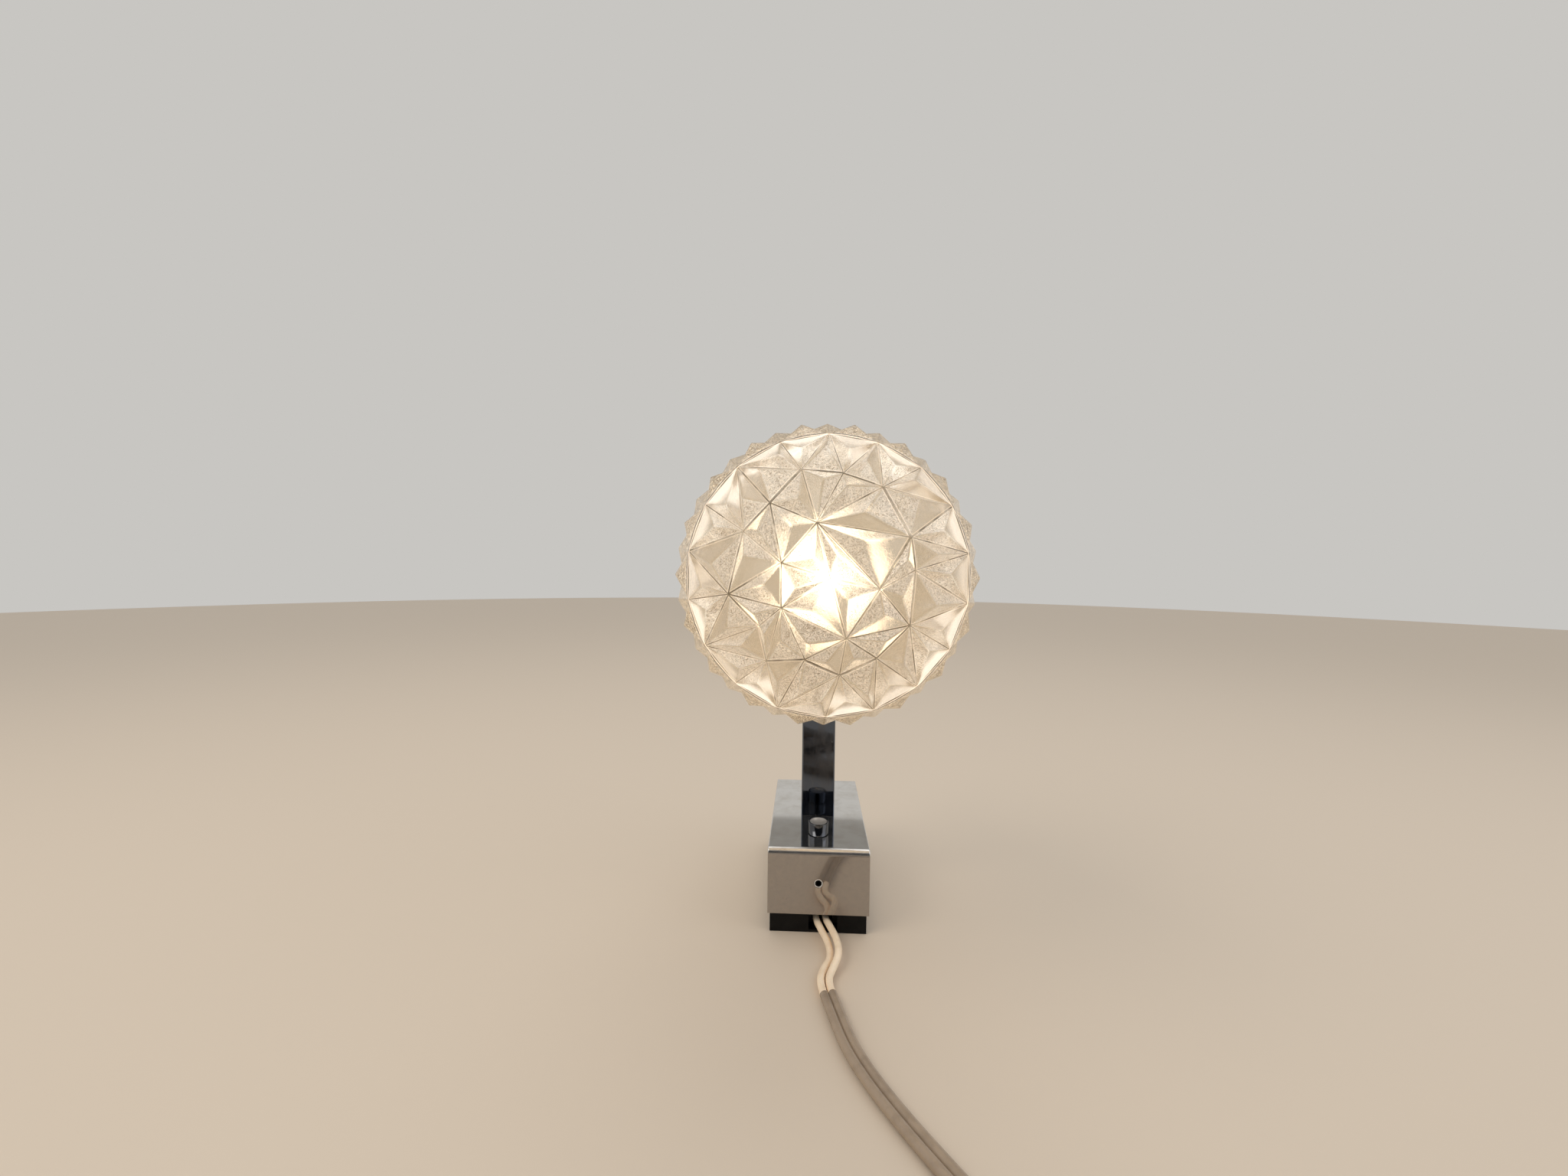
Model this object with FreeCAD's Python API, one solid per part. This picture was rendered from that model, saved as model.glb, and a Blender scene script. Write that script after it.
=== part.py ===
"""Wall sconce: a chromed box with a square arm, a faceted glass globe and a push-button switch.

Sizes are in millimetres. The origin is the middle of the wall tray's back. +Z points away from the wall,
+Y runs along the box to its far end, X runs across it, and the cord leaves through the near end at -Y.
The lampholder, bulb and globe share one axis, which leaves the arm towards -Y. Places along that axis are
reaches: distances from the arm's own axis.
"""

import FreeCAD, Part
import math
import os

from FreeCAD import Vector

# Box on the wall
COVER_WIDTH = 50.0
COVER_LENGTH = 96.0
COVER_DEPTH = 32.2
COVER_WALL = 1.0
COVER_END_BEND = 3.0
COVER_SIDE_EDGE = 0.6
TRAY_REVEAL = 9.5
TRAY_WALL = 1.2
TRAY_GAP = 0.3
TRAY_INSIDE_COVER = 22.0
WALL_SLOT_SPACING = 50.0
WALL_SLOT_WIDTH = 4.5
WALL_SLOT_LENGTH = 11.0
CORD_NOTCH_WIDTH = 14.0
CORD_NOTCH_HEIGHT = 7.8
CORD_NOTCH_SHIFT = 2.4

# Screws through the two ends of the cover
GRUB_DIAMETER = 4.0
GRUB_LENGTH = 6.0
GRUB_SINK = 0.2
GRUB_SOCKET = 2.0
GRUB_SOCKET_DEPTH = 2.5
GRUB_ABOVE_RIM = 15.5
GRUB_HOLE_GAP = 0.1
PRESS_NUT_DIAMETER = 8.0
PRESS_NUT_LENGTH = 3.0

# Running and thread fits
THREAD_GAP = 0.05
SLIDE_GAP = 0.05
SEAT_GAP = 0.1

# Shares used in several shapes: how far in a quarter round's middle lies, counted in radii, and how much
# of a run one arc of a cord takes
QUARTER_SAG = 1 - math.sqrt(0.5)
RUN_SHARE = 0.45

# Arm
ARM_SIDE = 18.0
ARM_WALL = 1.2
ARM_CORNER = 0.8
ARM_ABOVE_GLOBE_AXIS = 14.4
ARM_CAP_THICKNESS = 1.5
ARM_SPIGOT_LENGTH = 5.0
FOOT_PLUG_LENGTH = 12.0
NIPPLE_DIAMETER = 10.0
NIPPLE_BORE = 7.0
NIPPLE_END = 1.5
NUT_ACROSS_FLATS = 14.0
NUT_THICKNESS = 3.0
WASHER_DIAMETER = 18.0
WASHER_THICKNESS = 1.0

# Push-button switch
BUTTON_DIAMETER = 10.25
BUTTON_HEIGHT = 6.4
BUTTON_DISH = 1.2
BUTTON_DISH_REACH = 4.3
BUTTON_EDGE = 0.4
BUTTON_SKIRT = 4.0
BUTTON_WALL = 1.2
BUTTON_CROWN = 2.0
BUTTON_TRAVEL = 2.5
BUTTON_HOLE_GAP = 0.2
BUTTON_FROM_CENTRE = 30.0
STEM_DIAMETER = 3.0
STEM_HEAD_DIAMETER = 5.0
STEM_HEAD_THICKNESS = 1.5
STEM_STOP_GAP = 0.1
SWITCH_BODY_WIDTH = 16.0
SWITCH_BODY_LENGTH = 14.0
SWITCH_BODY_HEIGHT = 12.0
SWITCH_ROOF = 2.4
SWITCH_CAVITY_DIAMETER = 6.0
SWITCH_CAVITY_DEPTH = 7.2
SWITCH_NECK_DIAMETER = 7.0
SWITCH_NECK_BELOW_RIM = 0.5
SWITCH_NUT_ACROSS_FLATS = 10.0
SWITCH_NUT_THICKNESS = 1.5
SWITCH_NUT_CLEAR = 0.3
BRACKET_STRIP = 10.0
BRACKET_THICKNESS = 1.0
BRACKET_FOOT = 6.0
SPRING_WIRE = 0.5
SPRING_DIAMETER = 5.6
SPRING_TURNS = 6
TAB_WIDTH = 4.8
TAB_THICKNESS = 0.8
TAB_LENGTH = 6.0
TAB_SPACING = 8.0
MOULDED_CORNER = 1.0

# Terminal block and cord clamp on the tray's floor
BLOCK_WIDTH = 22.0
BLOCK_LENGTH = 16.0
BLOCK_HEIGHT = 14.0
POLE_SPACING = 10.0
POLE_HEIGHT = 5.8
POLE_SLEEVE_DIAMETER = 5.0
POLE_BORE = 2.8
POLE_SCREW_DIAMETER = 3.0
POLE_SCREW_LENGTH = 5.5
POLE_SCREW_INSET = 3.6
SCREW_SLOT_WIDTH = 0.6
SCREW_SLOT_DEPTH = 0.8
BLOCK_SCREW_DIAMETER = 3.0
BLOCK_SCREW_HEAD = 5.5
BLOCK_SCREW_HEAD_THICKNESS = 2.0
BLOCK_SCREW_SLOT = 0.8
BLOCK_SCREW_SINK = 1.0
CLAMP_WIDTH = 19.0
CLAMP_LENGTH = 4.0
CLAMP_FROM_CENTRE = 38.4
CLAMP_SADDLE = 1.5
CLAMP_BAR_THICKNESS = 2.5
CLAMP_SCREW_DIAMETER = 2.6
CLAMP_SCREW_HEAD = 4.2
CLAMP_SCREW_SPACING = 14.6
CLAMP_SCREW_HEAD_THICKNESS = 1.6
CLAMP_PILLAR = 4.0
CLAMP_SIDE_SHIFT = 1.0
CLAMP_HOLE_FLOOR = 0.5
CLAMP_SCREW_FLOOR = 1.0

# Globe and what carries it
GLOBE_AXIS_HEIGHT = 175.6
GLOBE_GROOVE_RADIUS = 58.9
GLOBE_WALL = 3.7
GLOBE_PEAK_RISE = 2.1
GLOBE_TO_GALLERY = 1.5
NECK_INTO_BALL = 0.5
NECK_DIAMETER = 56.0
NECK_WALL = 3.0
NECK_END_REACH = 15.5
THREAD_HEIGHT = 1.3
THREAD_WIDTH = 1.8
THREAD_PITCH = 5.0
THREAD_FIRST_REACH = 19.0
THREAD_TURNS = 3
THREAD_SIDE_GAP = 0.35
COLLAR_DIAMETER = 22.0
COLLAR_LENGTH = 4.0
COLLAR_WAIST = 1.0
GALLERY_WALL = 1.2
GALLERY_BEND = 2.0
GALLERY_RIM_REACH = 32.5
GALLERY_GAP = 0.6
GASKET_THICKNESS = 1.2

# Lampholder and bulb
HOLDER_DIAMETER = 28.0
HOLDER_CAP_LENGTH = 17.8
HOLDER_LENGTH = 40.0
HOLDER_BASE = 6.0
HOLDER_WALL = 2.5
HOLDER_BEND = 3.0
HOLDER_GROOVE_START = 2.0
HOLDER_GROOVE_WIDTH = 1.0
HOLDER_GROOVE_DEPTH = 0.8
HOLDER_TAPER = 1.0
HOLDER_NOSE_LENGTH = 3.0
HOLDER_NOSE_DROP = 2.5
INSERT_THICKNESS = 6.0
INSERT_SHELF = 1.5
CONTACT_SHANK = 3.0
CONTACT_SEAT_DEPTH = 2.4
SLEEVE_FROM_JOINT = 1.5
SLEEVE_LAST_TURN = 0.2
SLEEVE_THICKNESS = 0.6
BULB_THREAD_DIAMETER = 13.9
BULB_THREAD_ROOT = 12.8
BULB_THREAD_PITCH = 2.82
BULB_THREAD_CREST = 1.4
BULB_THREAD_TURNS = 5
BULB_THREAD_GAP = 0.15
BULB_THREAD_INSET = 1.0
BULB_CONTACT_RISE = 1.0
BULB_CONTACT_LENGTH = 3.0
BULB_CAP_LENGTH = 25.0
BULB_CAP_WALL = 0.3
BULB_CAP_RIM = 1.0
SOLDER_TIP = ((0.0, 1.4), (0.5, 2.2), (1.2, 2.4))
TIP_DISC_RADIUS = 4.0
TIP_DISC_INSET = 0.4
BULB_CENTRE = 55.0
BULB_DIAMETER = 45.0
BULB_NECK_DIAMETER = 19.0
BULB_GLASS = 0.8
BULB_NECK_IN_CAP = 0.5
BULB_FOOT_IN_CAP = 1.0
BULB_SHOULDER = 3.0
BULB_BOW = (1.2, 0.9)
STEM_FLARE_MIDDLE = (3.0, 3.2)
STEM_FLARE_END = (8.0, 2.0)
SUPPORT_DIAMETER = 0.7
SUPPORT_SPACING = 3.0
FILAMENT_DIAMETER = 1.2
FILAMENT_LENGTH = 12.0
FILAMENT_AHEAD = 0.3

# Wires and cord
LEAD_DIAMETER = 3.3
WIRE_DIAMETER = 1.8
WIRE_GAP = 0.4
WIRE_GRIP = 2.0
WIRE_LOOP = 5.0
WIRE_BEND = 5.4
LEAD_TAIL_RUN = 8.0
FLEX_THICKNESS = 3.7
FLEX_WIDTH = 7.3
LEAD_END_SPACING = 3.6
LEAD_END_RUN = 7.5
COIL_TURNS = 5
COIL_LAYERS = 2
COIL_SIDE_GAP = 1.4
COIL_LAYER_GAP = 0.5
COIL_OUTER_RADIUS = 50.0
COIL_CENTRE_X = 24.2
COIL_CENTRE_Y = -229.0
COIL_START_ANGLE = 36.0
COIL_END_ANGLE = -72.0
COIL_CLIMB_ANGLE = 180.0
COIL_LEAD_IN = 12.0
COIL_TAIL = 24.0
TIE_THICKNESS = 0.6
TIE_WIDTH = 7.0
TIE_GAP = 0.5
TIE_SIDE_GAP = 1.0
TIE_ANGLE = 180.0

# Plug
PLUG_WIDTH = 35.3
PLUG_NOSE_WIDTH = 26.0
PLUG_THICKNESS = 14.3
PLUG_LENGTH = 34.0
PLUG_TAIL_WIDTH = 12.0
PLUG_SHOULDER_SHARE = 0.45
PLUG_WAIST_BOW = 1.5
PLUG_EDGE = 2.0
PIN_DIAMETER = 4.0
PIN_LENGTH = 19.0
PIN_SPACING = 18.6
PIN_SEAT = 5.0
RELIEF_LENGTH = 24.0
RELIEF_WIDTH = 11.0
RELIEF_THICKNESS = 8.4
RELIEF_WALL = 0.8

# Worked out from the sizes above
RIM_HEIGHT = TRAY_REVEAL
COVER_FACE = RIM_HEIGHT + COVER_DEPTH
COVER_UNDERSIDE = COVER_FACE - COVER_WALL
TRAY_WIDTH = COVER_WIDTH - 2 * (COVER_WALL + TRAY_GAP)
TRAY_LENGTH = COVER_LENGTH - 2 * (COVER_WALL + TRAY_GAP)
TRAY_TOP = RIM_HEIGHT + TRAY_INSIDE_COVER
GRUB_HEIGHT = RIM_HEIGHT + GRUB_ABOVE_RIM
ARM_TOP = GLOBE_AXIS_HEIGHT + ARM_ABOVE_GLOBE_AXIS
ARM_INSIDE = ARM_SIDE - 2 * ARM_WALL
ARM_FRONT_REACH = ARM_SIDE / 2
COLLAR_END_REACH = ARM_FRONT_REACH + COLLAR_LENGTH
GALLERY_FLOOR_REACH = COLLAR_END_REACH + GALLERY_WALL
NECK_RADIUS = NECK_DIAMETER / 2
GALLERY_BORE_RADIUS = NECK_RADIUS + THREAD_HEIGHT + GALLERY_GAP
GALLERY_RADIUS = GALLERY_BORE_RADIUS + GALLERY_WALL
GLOBE_INNER_RADIUS = GLOBE_GROOVE_RADIUS - GLOBE_WALL
GLOBE_PEAK_RADIUS = GLOBE_GROOVE_RADIUS + GLOBE_PEAK_RISE
GLOBE_REACH = GALLERY_RIM_REACH + GLOBE_TO_GALLERY + math.sqrt(GLOBE_PEAK_RADIUS ** 2 - GALLERY_RADIUS ** 2)
HOLDER_REAR = GALLERY_FLOOR_REACH
HOLDER_JOINT = HOLDER_REAR + HOLDER_CAP_LENGTH
BULB_CONTACT_REACH = HOLDER_JOINT + BULB_CONTACT_RISE
BULB_REACH = BULB_CONTACT_REACH + BULB_CENTRE
FLEX_HEIGHT = FLEX_THICKNESS / 2
COIL_LIFT = TIE_THICKNESS + TIE_GAP
COIL_PITCH = FLEX_WIDTH + COIL_SIDE_GAP

# Cord routes, chosen by hand. The leads start behind the clamp and end in the two lobes of the flex
LEAD_LEFT_ROUTE = [
    (-1.2, -36.0, 4.4),
    (-1.2, -42.6, 4.4),
    (1.5, -51.0, 4.1),
    (5.2, -60.5, 2.9),
    (5.4, -69.0, 1.8),
    (2.1, -75.4, 1.85),
]
LEAD_RIGHT_ROUTE = [
    (3.6, -36.0, 4.4),
    (3.6, -42.0, 4.4),
    (5.5, -51.0, 6.3),
    (8.6, -61.0, 6.2),
    (9.3, -69.4, 5.2),
    (6.5, -75.8, 3.0),
]
FLEX_ROUTE = [
    (3.6, -90.8, FLEX_HEIGHT),
    (6.7, -103.0, FLEX_HEIGHT),
    (10.7, -117.6, FLEX_HEIGHT),
    (17.2, -131.6, FLEX_HEIGHT),
    (25.6, -145.4, FLEX_HEIGHT),
    (34.6, -158.6, FLEX_HEIGHT),
    (46.0, -174.3, FLEX_HEIGHT),
]


def box(x, y, z):
    """A block between two X, two Y and two Z values."""
    block = Part.makeBox(x[1] - x[0], y[1] - y[0], z[1] - z[0])
    block.translate(Vector(x[0], y[0], z[0]))
    return block


def post(radius, bottom, top, x=0.0, y=0.0):
    """A round post along Z."""
    return Part.makeCylinder(radius, top - bottom, Vector(x, y, bottom))


def rod(radius, start, end, x=0.0, z=GLOBE_AXIS_HEIGHT):
    """A round bar along Y from the reach start to the reach end."""
    return Part.makeCylinder(radius, end - start, Vector(x, -start, z), Vector(0, -1, 0))


def hexagon(across_flats, bottom, top):
    """A six-sided post along Z, with two of its flats facing +X and -X."""
    corner = across_flats / math.sqrt(3)
    turns = [math.radians(30 + 60 * k) for k in range(7)]
    outline = Part.makePolygon([Vector(corner * math.cos(a), corner * math.sin(a), bottom) for a in turns])
    return Part.Face(outline).extrude(Vector(0, 0, top - bottom))


def turned(profile, z=GLOBE_AXIS_HEIGHT):
    """A body turned about the globe's axis from a closed profile of (reach, radius) points.

    An item of two points is an arc through the first to the second.
    """
    def place(point):
        return Vector(point[1], -point[0], z)

    edges = []
    last = place(profile[0])
    for item in profile[1:] + [profile[0]]:
        bent = isinstance(item[0], tuple)
        end = place(item[1] if bent else item)
        if end.distanceToPoint(last) > 1e-6:
            edge = Part.Arc(last, place(item[0]), end) if bent else Part.LineSegment(last, end)
            edges.append(edge.toShape())
        last = end
    return Part.Face(Part.Wire(edges)).revolve(Vector(0, 0, z), Vector(0, 1, 0), 360)


def on_globe_axis(shape):
    """Turns a body made upright at the origin onto the globe's axis, with its +Z along the reach."""
    shape.rotate(Vector(0, 0, 0), Vector(1, 0, 0), 90)
    shape.translate(Vector(0, 0, GLOBE_AXIS_HEIGHT))
    return shape


def route_path(route, widest=math.inf):
    """Straight runs joined by tangent arcs, each taking the same share of the shorter run beside it.

    No arc is wider than the widest radius given.
    """
    points = [Vector(*p) for p in route]
    edges = []
    radii = []
    last = points[0]
    for before, corner, after in zip(points, points[1:], points[2:]):
        into = (corner - before).normalize()
        out = (after - corner).normalize()
        half_turn = into.getAngle(out) / 2
        shorter = min(corner.distanceToPoint(before), corner.distanceToPoint(after))
        radius = min(RUN_SHARE * shorter / math.tan(half_turn), widest)
        cut = radius * math.tan(half_turn)
        start = corner - into * cut
        end = corner + out * cut
        sag = radius * (1 / math.cos(half_turn) - 1)
        middle = corner + (out - into).normalize() * sag
        edges.append(Part.LineSegment(last, start).toShape())
        edges.append(Part.Arc(start, middle, end).toShape())
        radii.append(radius)
        last = end
    edges.append(Part.LineSegment(last, points[-1]).toShape())
    return Part.Wire(edges), radii


def round_section(start, along, radius):
    """A circle square to the path's start."""
    return Part.Wire(Part.makeCircle(radius, start, along))


def flat_section(start, along, width, thickness):
    """A flat section with round sides, lying level and square to the path's start."""
    side = Vector(along.y, -along.x, 0).normalize()
    up = side.cross(along).normalize()
    if up.z < 0:
        up = up * -1
    half = side * ((width - thickness) / 2)
    rise = up * (thickness / 2)
    tip = side * (width / 2)
    edges = [
        Part.LineSegment(start - half + rise, start + half + rise).toShape(),
        Part.Arc(start + half + rise, start + tip, start + half - rise).toShape(),
        Part.LineSegment(start + half - rise, start - half - rise).toShape(),
        Part.Arc(start - half - rise, start - tip, start - half + rise).toShape(),
    ]
    return Part.Wire(edges)


def swept(name, path, section, radii=None):
    """One tube along a path, with its volume set against its section times its length."""
    tube = path.makePipeShell([section], True, False)
    if tube.Volume < 0:
        tube.reverse()
    expected = Part.Face(section).Area * path.Length
    note = "" if radii is None else ", radii " + " ".join(f"{r:.1f}" for r in radii)
    share = tube.Volume / expected
    print(f"{name}: length {path.Length:.1f}, volume {share:.4f} of section x length{note}")
    return tube


def lead_tube(name, route, diameter, widest=math.inf):
    """A round lead along a route."""
    path, radii = route_path(route, widest)
    start = Vector(*route[0])
    along = Vector(*route[1]) - start
    return swept(name, path, round_section(start, along, diameter / 2), radii)


def cover():
    """The chromed box: rounded across its two ends, hollow, and open towards the wall."""
    def shell(width, length, top, bend):
        half = length / 2
        corner = bend * QUARTER_SAG
        edges = [
            Part.LineSegment(Vector(0, -half, RIM_HEIGHT), Vector(0, -half, top - bend)),
            Part.Arc(
                Vector(0, -half, top - bend),
                Vector(0, corner - half, top - corner),
                Vector(0, -half + bend, top),
            ),
            Part.LineSegment(Vector(0, -half + bend, top), Vector(0, half - bend, top)),
            Part.Arc(
                Vector(0, half - bend, top),
                Vector(0, half - corner, top - corner),
                Vector(0, half, top - bend),
            ),
            Part.LineSegment(Vector(0, half, top - bend), Vector(0, half, RIM_HEIGHT)),
            Part.LineSegment(Vector(0, half, RIM_HEIGHT), Vector(0, -half, RIM_HEIGHT)),
        ]
        solid = Part.Face(Part.Wire([e.toShape() for e in edges])).extrude(Vector(width, 0, 0))
        solid.translate(Vector(-width / 2, 0, 0))
        return solid

    outer = shell(COVER_WIDTH, COVER_LENGTH, COVER_FACE, COVER_END_BEND)
    long_edges = [
        e for e in outer.Edges
        if abs(abs(e.CenterOfMass.x) - COVER_WIDTH / 2) < 1e-4 and e.BoundBox.ZMax > RIM_HEIGHT + 1e-3
    ]
    outer = outer.makeFillet(COVER_SIDE_EDGE, long_edges)
    inner = shell(
        COVER_WIDTH - 2 * COVER_WALL,
        COVER_LENGTH - 2 * COVER_WALL,
        COVER_UNDERSIDE,
        COVER_END_BEND - COVER_WALL,
    )
    body = outer.cut(inner)
    screw_start = Vector(0, -COVER_LENGTH / 2 - 1, GRUB_HEIGHT)
    screw_line = Part.makeCylinder(
        GRUB_DIAMETER / 2 + GRUB_HOLE_GAP, COVER_LENGTH + 2, screw_start, Vector(0, 1, 0)
    )
    arm_hole = post(NIPPLE_DIAMETER / 2 + THREAD_GAP, COVER_UNDERSIDE - 1, COVER_FACE + 1)
    button_hole = post(
        BUTTON_DIAMETER / 2 + BUTTON_HOLE_GAP, COVER_UNDERSIDE - 1, COVER_FACE + 1, y=-BUTTON_FROM_CENTRE
    )
    return body.cut(screw_line.fuse([arm_hole, button_hole]))


def wall_tray():
    """The black tray on the wall, with two slots for wall screws and a notch where the leads leave."""
    x = TRAY_WIDTH / 2
    y = TRAY_LENGTH / 2
    body = box((-x, x), (-y, y), (0, TRAY_TOP))
    body = body.cut(
        box((TRAY_WALL - x, x - TRAY_WALL), (TRAY_WALL - y, y - TRAY_WALL), (TRAY_WALL, TRAY_TOP + 1))
    )
    slot_radius = WALL_SLOT_WIDTH / 2
    straight = WALL_SLOT_LENGTH / 2 - slot_radius
    cuts = []
    for place in (-WALL_SLOT_SPACING / 2, WALL_SLOT_SPACING / 2):
        along = (place - straight, place + straight)
        cuts.append(box((-slot_radius, slot_radius), along, (-1, TRAY_WALL + 1)))
        cuts.append(post(slot_radius, -1, TRAY_WALL + 1, y=place - straight))
        cuts.append(post(slot_radius, -1, TRAY_WALL + 1, y=place + straight))
    cuts.append(
        Part.makeCylinder(
            GRUB_DIAMETER / 2 + THREAD_GAP, TRAY_LENGTH + 2, Vector(0, -y - 1, GRUB_HEIGHT), Vector(0, 1, 0)
        )
    )
    cuts.append(post(BLOCK_SCREW_DIAMETER / 2 + THREAD_GAP, -1, TRAY_WALL + 1))
    notch_x = (CORD_NOTCH_SHIFT - CORD_NOTCH_WIDTH / 2, CORD_NOTCH_SHIFT + CORD_NOTCH_WIDTH / 2)
    cuts.append(box(notch_x, (-y - 1, TRAY_WALL - y), (TRAY_WALL, TRAY_WALL + CORD_NOTCH_HEIGHT)))
    return body.cut(cuts)


def grub_screws():
    """The two socket screws that hold the cover, one through each end."""
    screws = []
    for side in (-1, 1):
        face = COVER_LENGTH / 2 - GRUB_SINK
        screw = post(GRUB_DIAMETER / 2, 0, GRUB_LENGTH)
        screw = screw.cut(hexagon(GRUB_SOCKET, GRUB_LENGTH - GRUB_SOCKET_DEPTH, GRUB_LENGTH + 1))
        screw.rotate(Vector(0, 0, 0), Vector(1, 0, 0), -90 * side)
        screw.translate(Vector(0, side * (face - GRUB_LENGTH), GRUB_HEIGHT))
        screws.append(screw)
    return screws


def press_nuts():
    """The two round nuts pressed to the inside of the tray's ends."""
    nuts = []
    inside = TRAY_LENGTH / 2 - TRAY_WALL
    for start in (-inside, inside - PRESS_NUT_LENGTH):
        place = Vector(0, start, GRUB_HEIGHT)
        nut = Part.makeCylinder(PRESS_NUT_DIAMETER / 2, PRESS_NUT_LENGTH, place, Vector(0, 1, 0))
        bore = Part.makeCylinder(GRUB_DIAMETER / 2 + THREAD_GAP, PRESS_NUT_LENGTH, place, Vector(0, 1, 0))
        nuts.append(nut.cut(bore))
    return nuts


def square_tube(side, corner, bottom, top):
    """A square bar along Z with rounded corners."""
    half = side / 2
    bar = box((-half, half), (-half, half), (bottom, top))
    uprights = [e for e in bar.Edges if e.BoundBox.ZLength > (top - bottom) / 2]
    return bar.makeFillet(corner, uprights)


def arm_tube():
    """The square arm, standing on the cover, with the hole for the globe's nipple in its front wall."""
    outer = square_tube(ARM_SIDE, ARM_CORNER, COVER_FACE, ARM_TOP)
    half = ARM_INSIDE / 2
    inner = box((-half, half), (-half, half), (COVER_FACE - 1, ARM_TOP + 1))
    hole = rod(NIPPLE_DIAMETER / 2 + THREAD_GAP, ARM_INSIDE / 2 - 1, ARM_FRONT_REACH + 1)
    return outer.cut(inner.fuse(hole))


def arm_cap():
    """The cap that closes the arm's top, with its spigot inside the tube."""
    half = ARM_INSIDE / 2 - SEAT_GAP
    plate = square_tube(ARM_SIDE, ARM_CORNER, ARM_TOP, ARM_TOP + ARM_CAP_THICKNESS)
    rim = [e for e in plate.Edges if e.BoundBox.ZMin > ARM_TOP + ARM_CAP_THICKNESS - 1e-3]
    plate = plate.makeChamfer(ARM_CAP_THICKNESS / 4, rim)
    spigot = box((-half, half), (-half, half), (ARM_TOP - ARM_SPIGOT_LENGTH, ARM_TOP))
    return plate.fuse(spigot).removeSplitter()


def foot_plug():
    """The steel block in the foot of the arm that takes the foot nipple's thread."""
    half = ARM_INSIDE / 2 - SEAT_GAP
    block = box((-half, half), (-half, half), (COVER_FACE, COVER_FACE + FOOT_PLUG_LENGTH))
    bore = post(NIPPLE_DIAMETER / 2 + THREAD_GAP, COVER_FACE - 1, COVER_FACE + FOOT_PLUG_LENGTH + 1)
    return block.cut(bore)


def nipple(bottom, top):
    """A hollow threaded nipple along Z."""
    return post(NIPPLE_DIAMETER / 2, bottom, top).cut(post(NIPPLE_BORE / 2, bottom - 1, top + 1))


def nipple_nut(bottom):
    """A hexagon nut for a nipple."""
    nut = hexagon(NUT_ACROSS_FLATS, bottom, bottom + NUT_THICKNESS)
    return nut.cut(post(NIPPLE_DIAMETER / 2 + THREAD_GAP, bottom - 1, bottom + NUT_THICKNESS + 1))


def foot_washer():
    """The washer under the cover's face."""
    bottom = COVER_UNDERSIDE - WASHER_THICKNESS
    ring = post(WASHER_DIAMETER / 2, bottom, COVER_UNDERSIDE)
    return ring.cut(post(NIPPLE_DIAMETER / 2 + THREAD_GAP, bottom - 1, COVER_UNDERSIDE + 1))


def foot_nipple():
    """The nipple that holds the arm to the cover."""
    bottom = COVER_UNDERSIDE - WASHER_THICKNESS - NUT_THICKNESS - NIPPLE_END
    return nipple(bottom, COVER_FACE + FOOT_PLUG_LENGTH - NIPPLE_END)


# Heights in the switch, from the button's rim down to its body
BUTTON_TOP = COVER_FACE + BUTTON_HEIGHT
BUTTON_RIM = COVER_FACE - BUTTON_SKIRT
BUTTON_CEILING = BUTTON_TOP - BUTTON_CROWN
SWITCH_NUT_TOP = BUTTON_RIM - BUTTON_TRAVEL - SWITCH_NUT_CLEAR
BRACKET_TOP = SWITCH_NUT_TOP - SWITCH_NUT_THICKNESS
SWITCH_BODY_TOP = BRACKET_TOP - BRACKET_THICKNESS
SWITCH_BODY_BOTTOM = SWITCH_BODY_TOP - SWITCH_BODY_HEIGHT
SWITCH_NECK_TOP = BUTTON_RIM - SWITCH_NECK_BELOW_RIM
SWITCH_CAVITY_TOP = SWITCH_BODY_TOP - SWITCH_ROOF


def at_switch(shape):
    """Moves a body made on the Z axis to the switch's place on the box."""
    shape.translate(Vector(0, -BUTTON_FROM_CENTRE, 0))
    return shape


def button_cap():
    """The chromed button: a cup whose crown is dished for the fingertip, with a rounded rim."""
    radius = BUTTON_DIAMETER / 2
    body = post(radius, BUTTON_RIM, BUTTON_TOP)
    crown = [e for e in body.Edges if e.BoundBox.ZMin > BUTTON_TOP - 0.01 and e.BoundBox.XLength > radius]
    body = body.makeFillet(BUTTON_EDGE, crown)
    dish_radius = (BUTTON_DISH_REACH ** 2 + BUTTON_DISH ** 2) / (2 * BUTTON_DISH)
    body = body.cut(Part.makeSphere(dish_radius, Vector(0, 0, BUTTON_TOP - BUTTON_DISH + dish_radius)))
    return at_switch(body.cut(post(radius - BUTTON_WALL, BUTTON_RIM - 1, BUTTON_CEILING)))


def button_stem():
    """The stem under the button, with the head that stops it inside the switch."""
    head_top = SWITCH_CAVITY_TOP - STEM_STOP_GAP
    stem = post(STEM_DIAMETER / 2, head_top - STEM_HEAD_THICKNESS, BUTTON_CEILING)
    head = post(STEM_HEAD_DIAMETER / 2, head_top - STEM_HEAD_THICKNESS, head_top)
    return at_switch(stem.fuse(head).removeSplitter())


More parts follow.
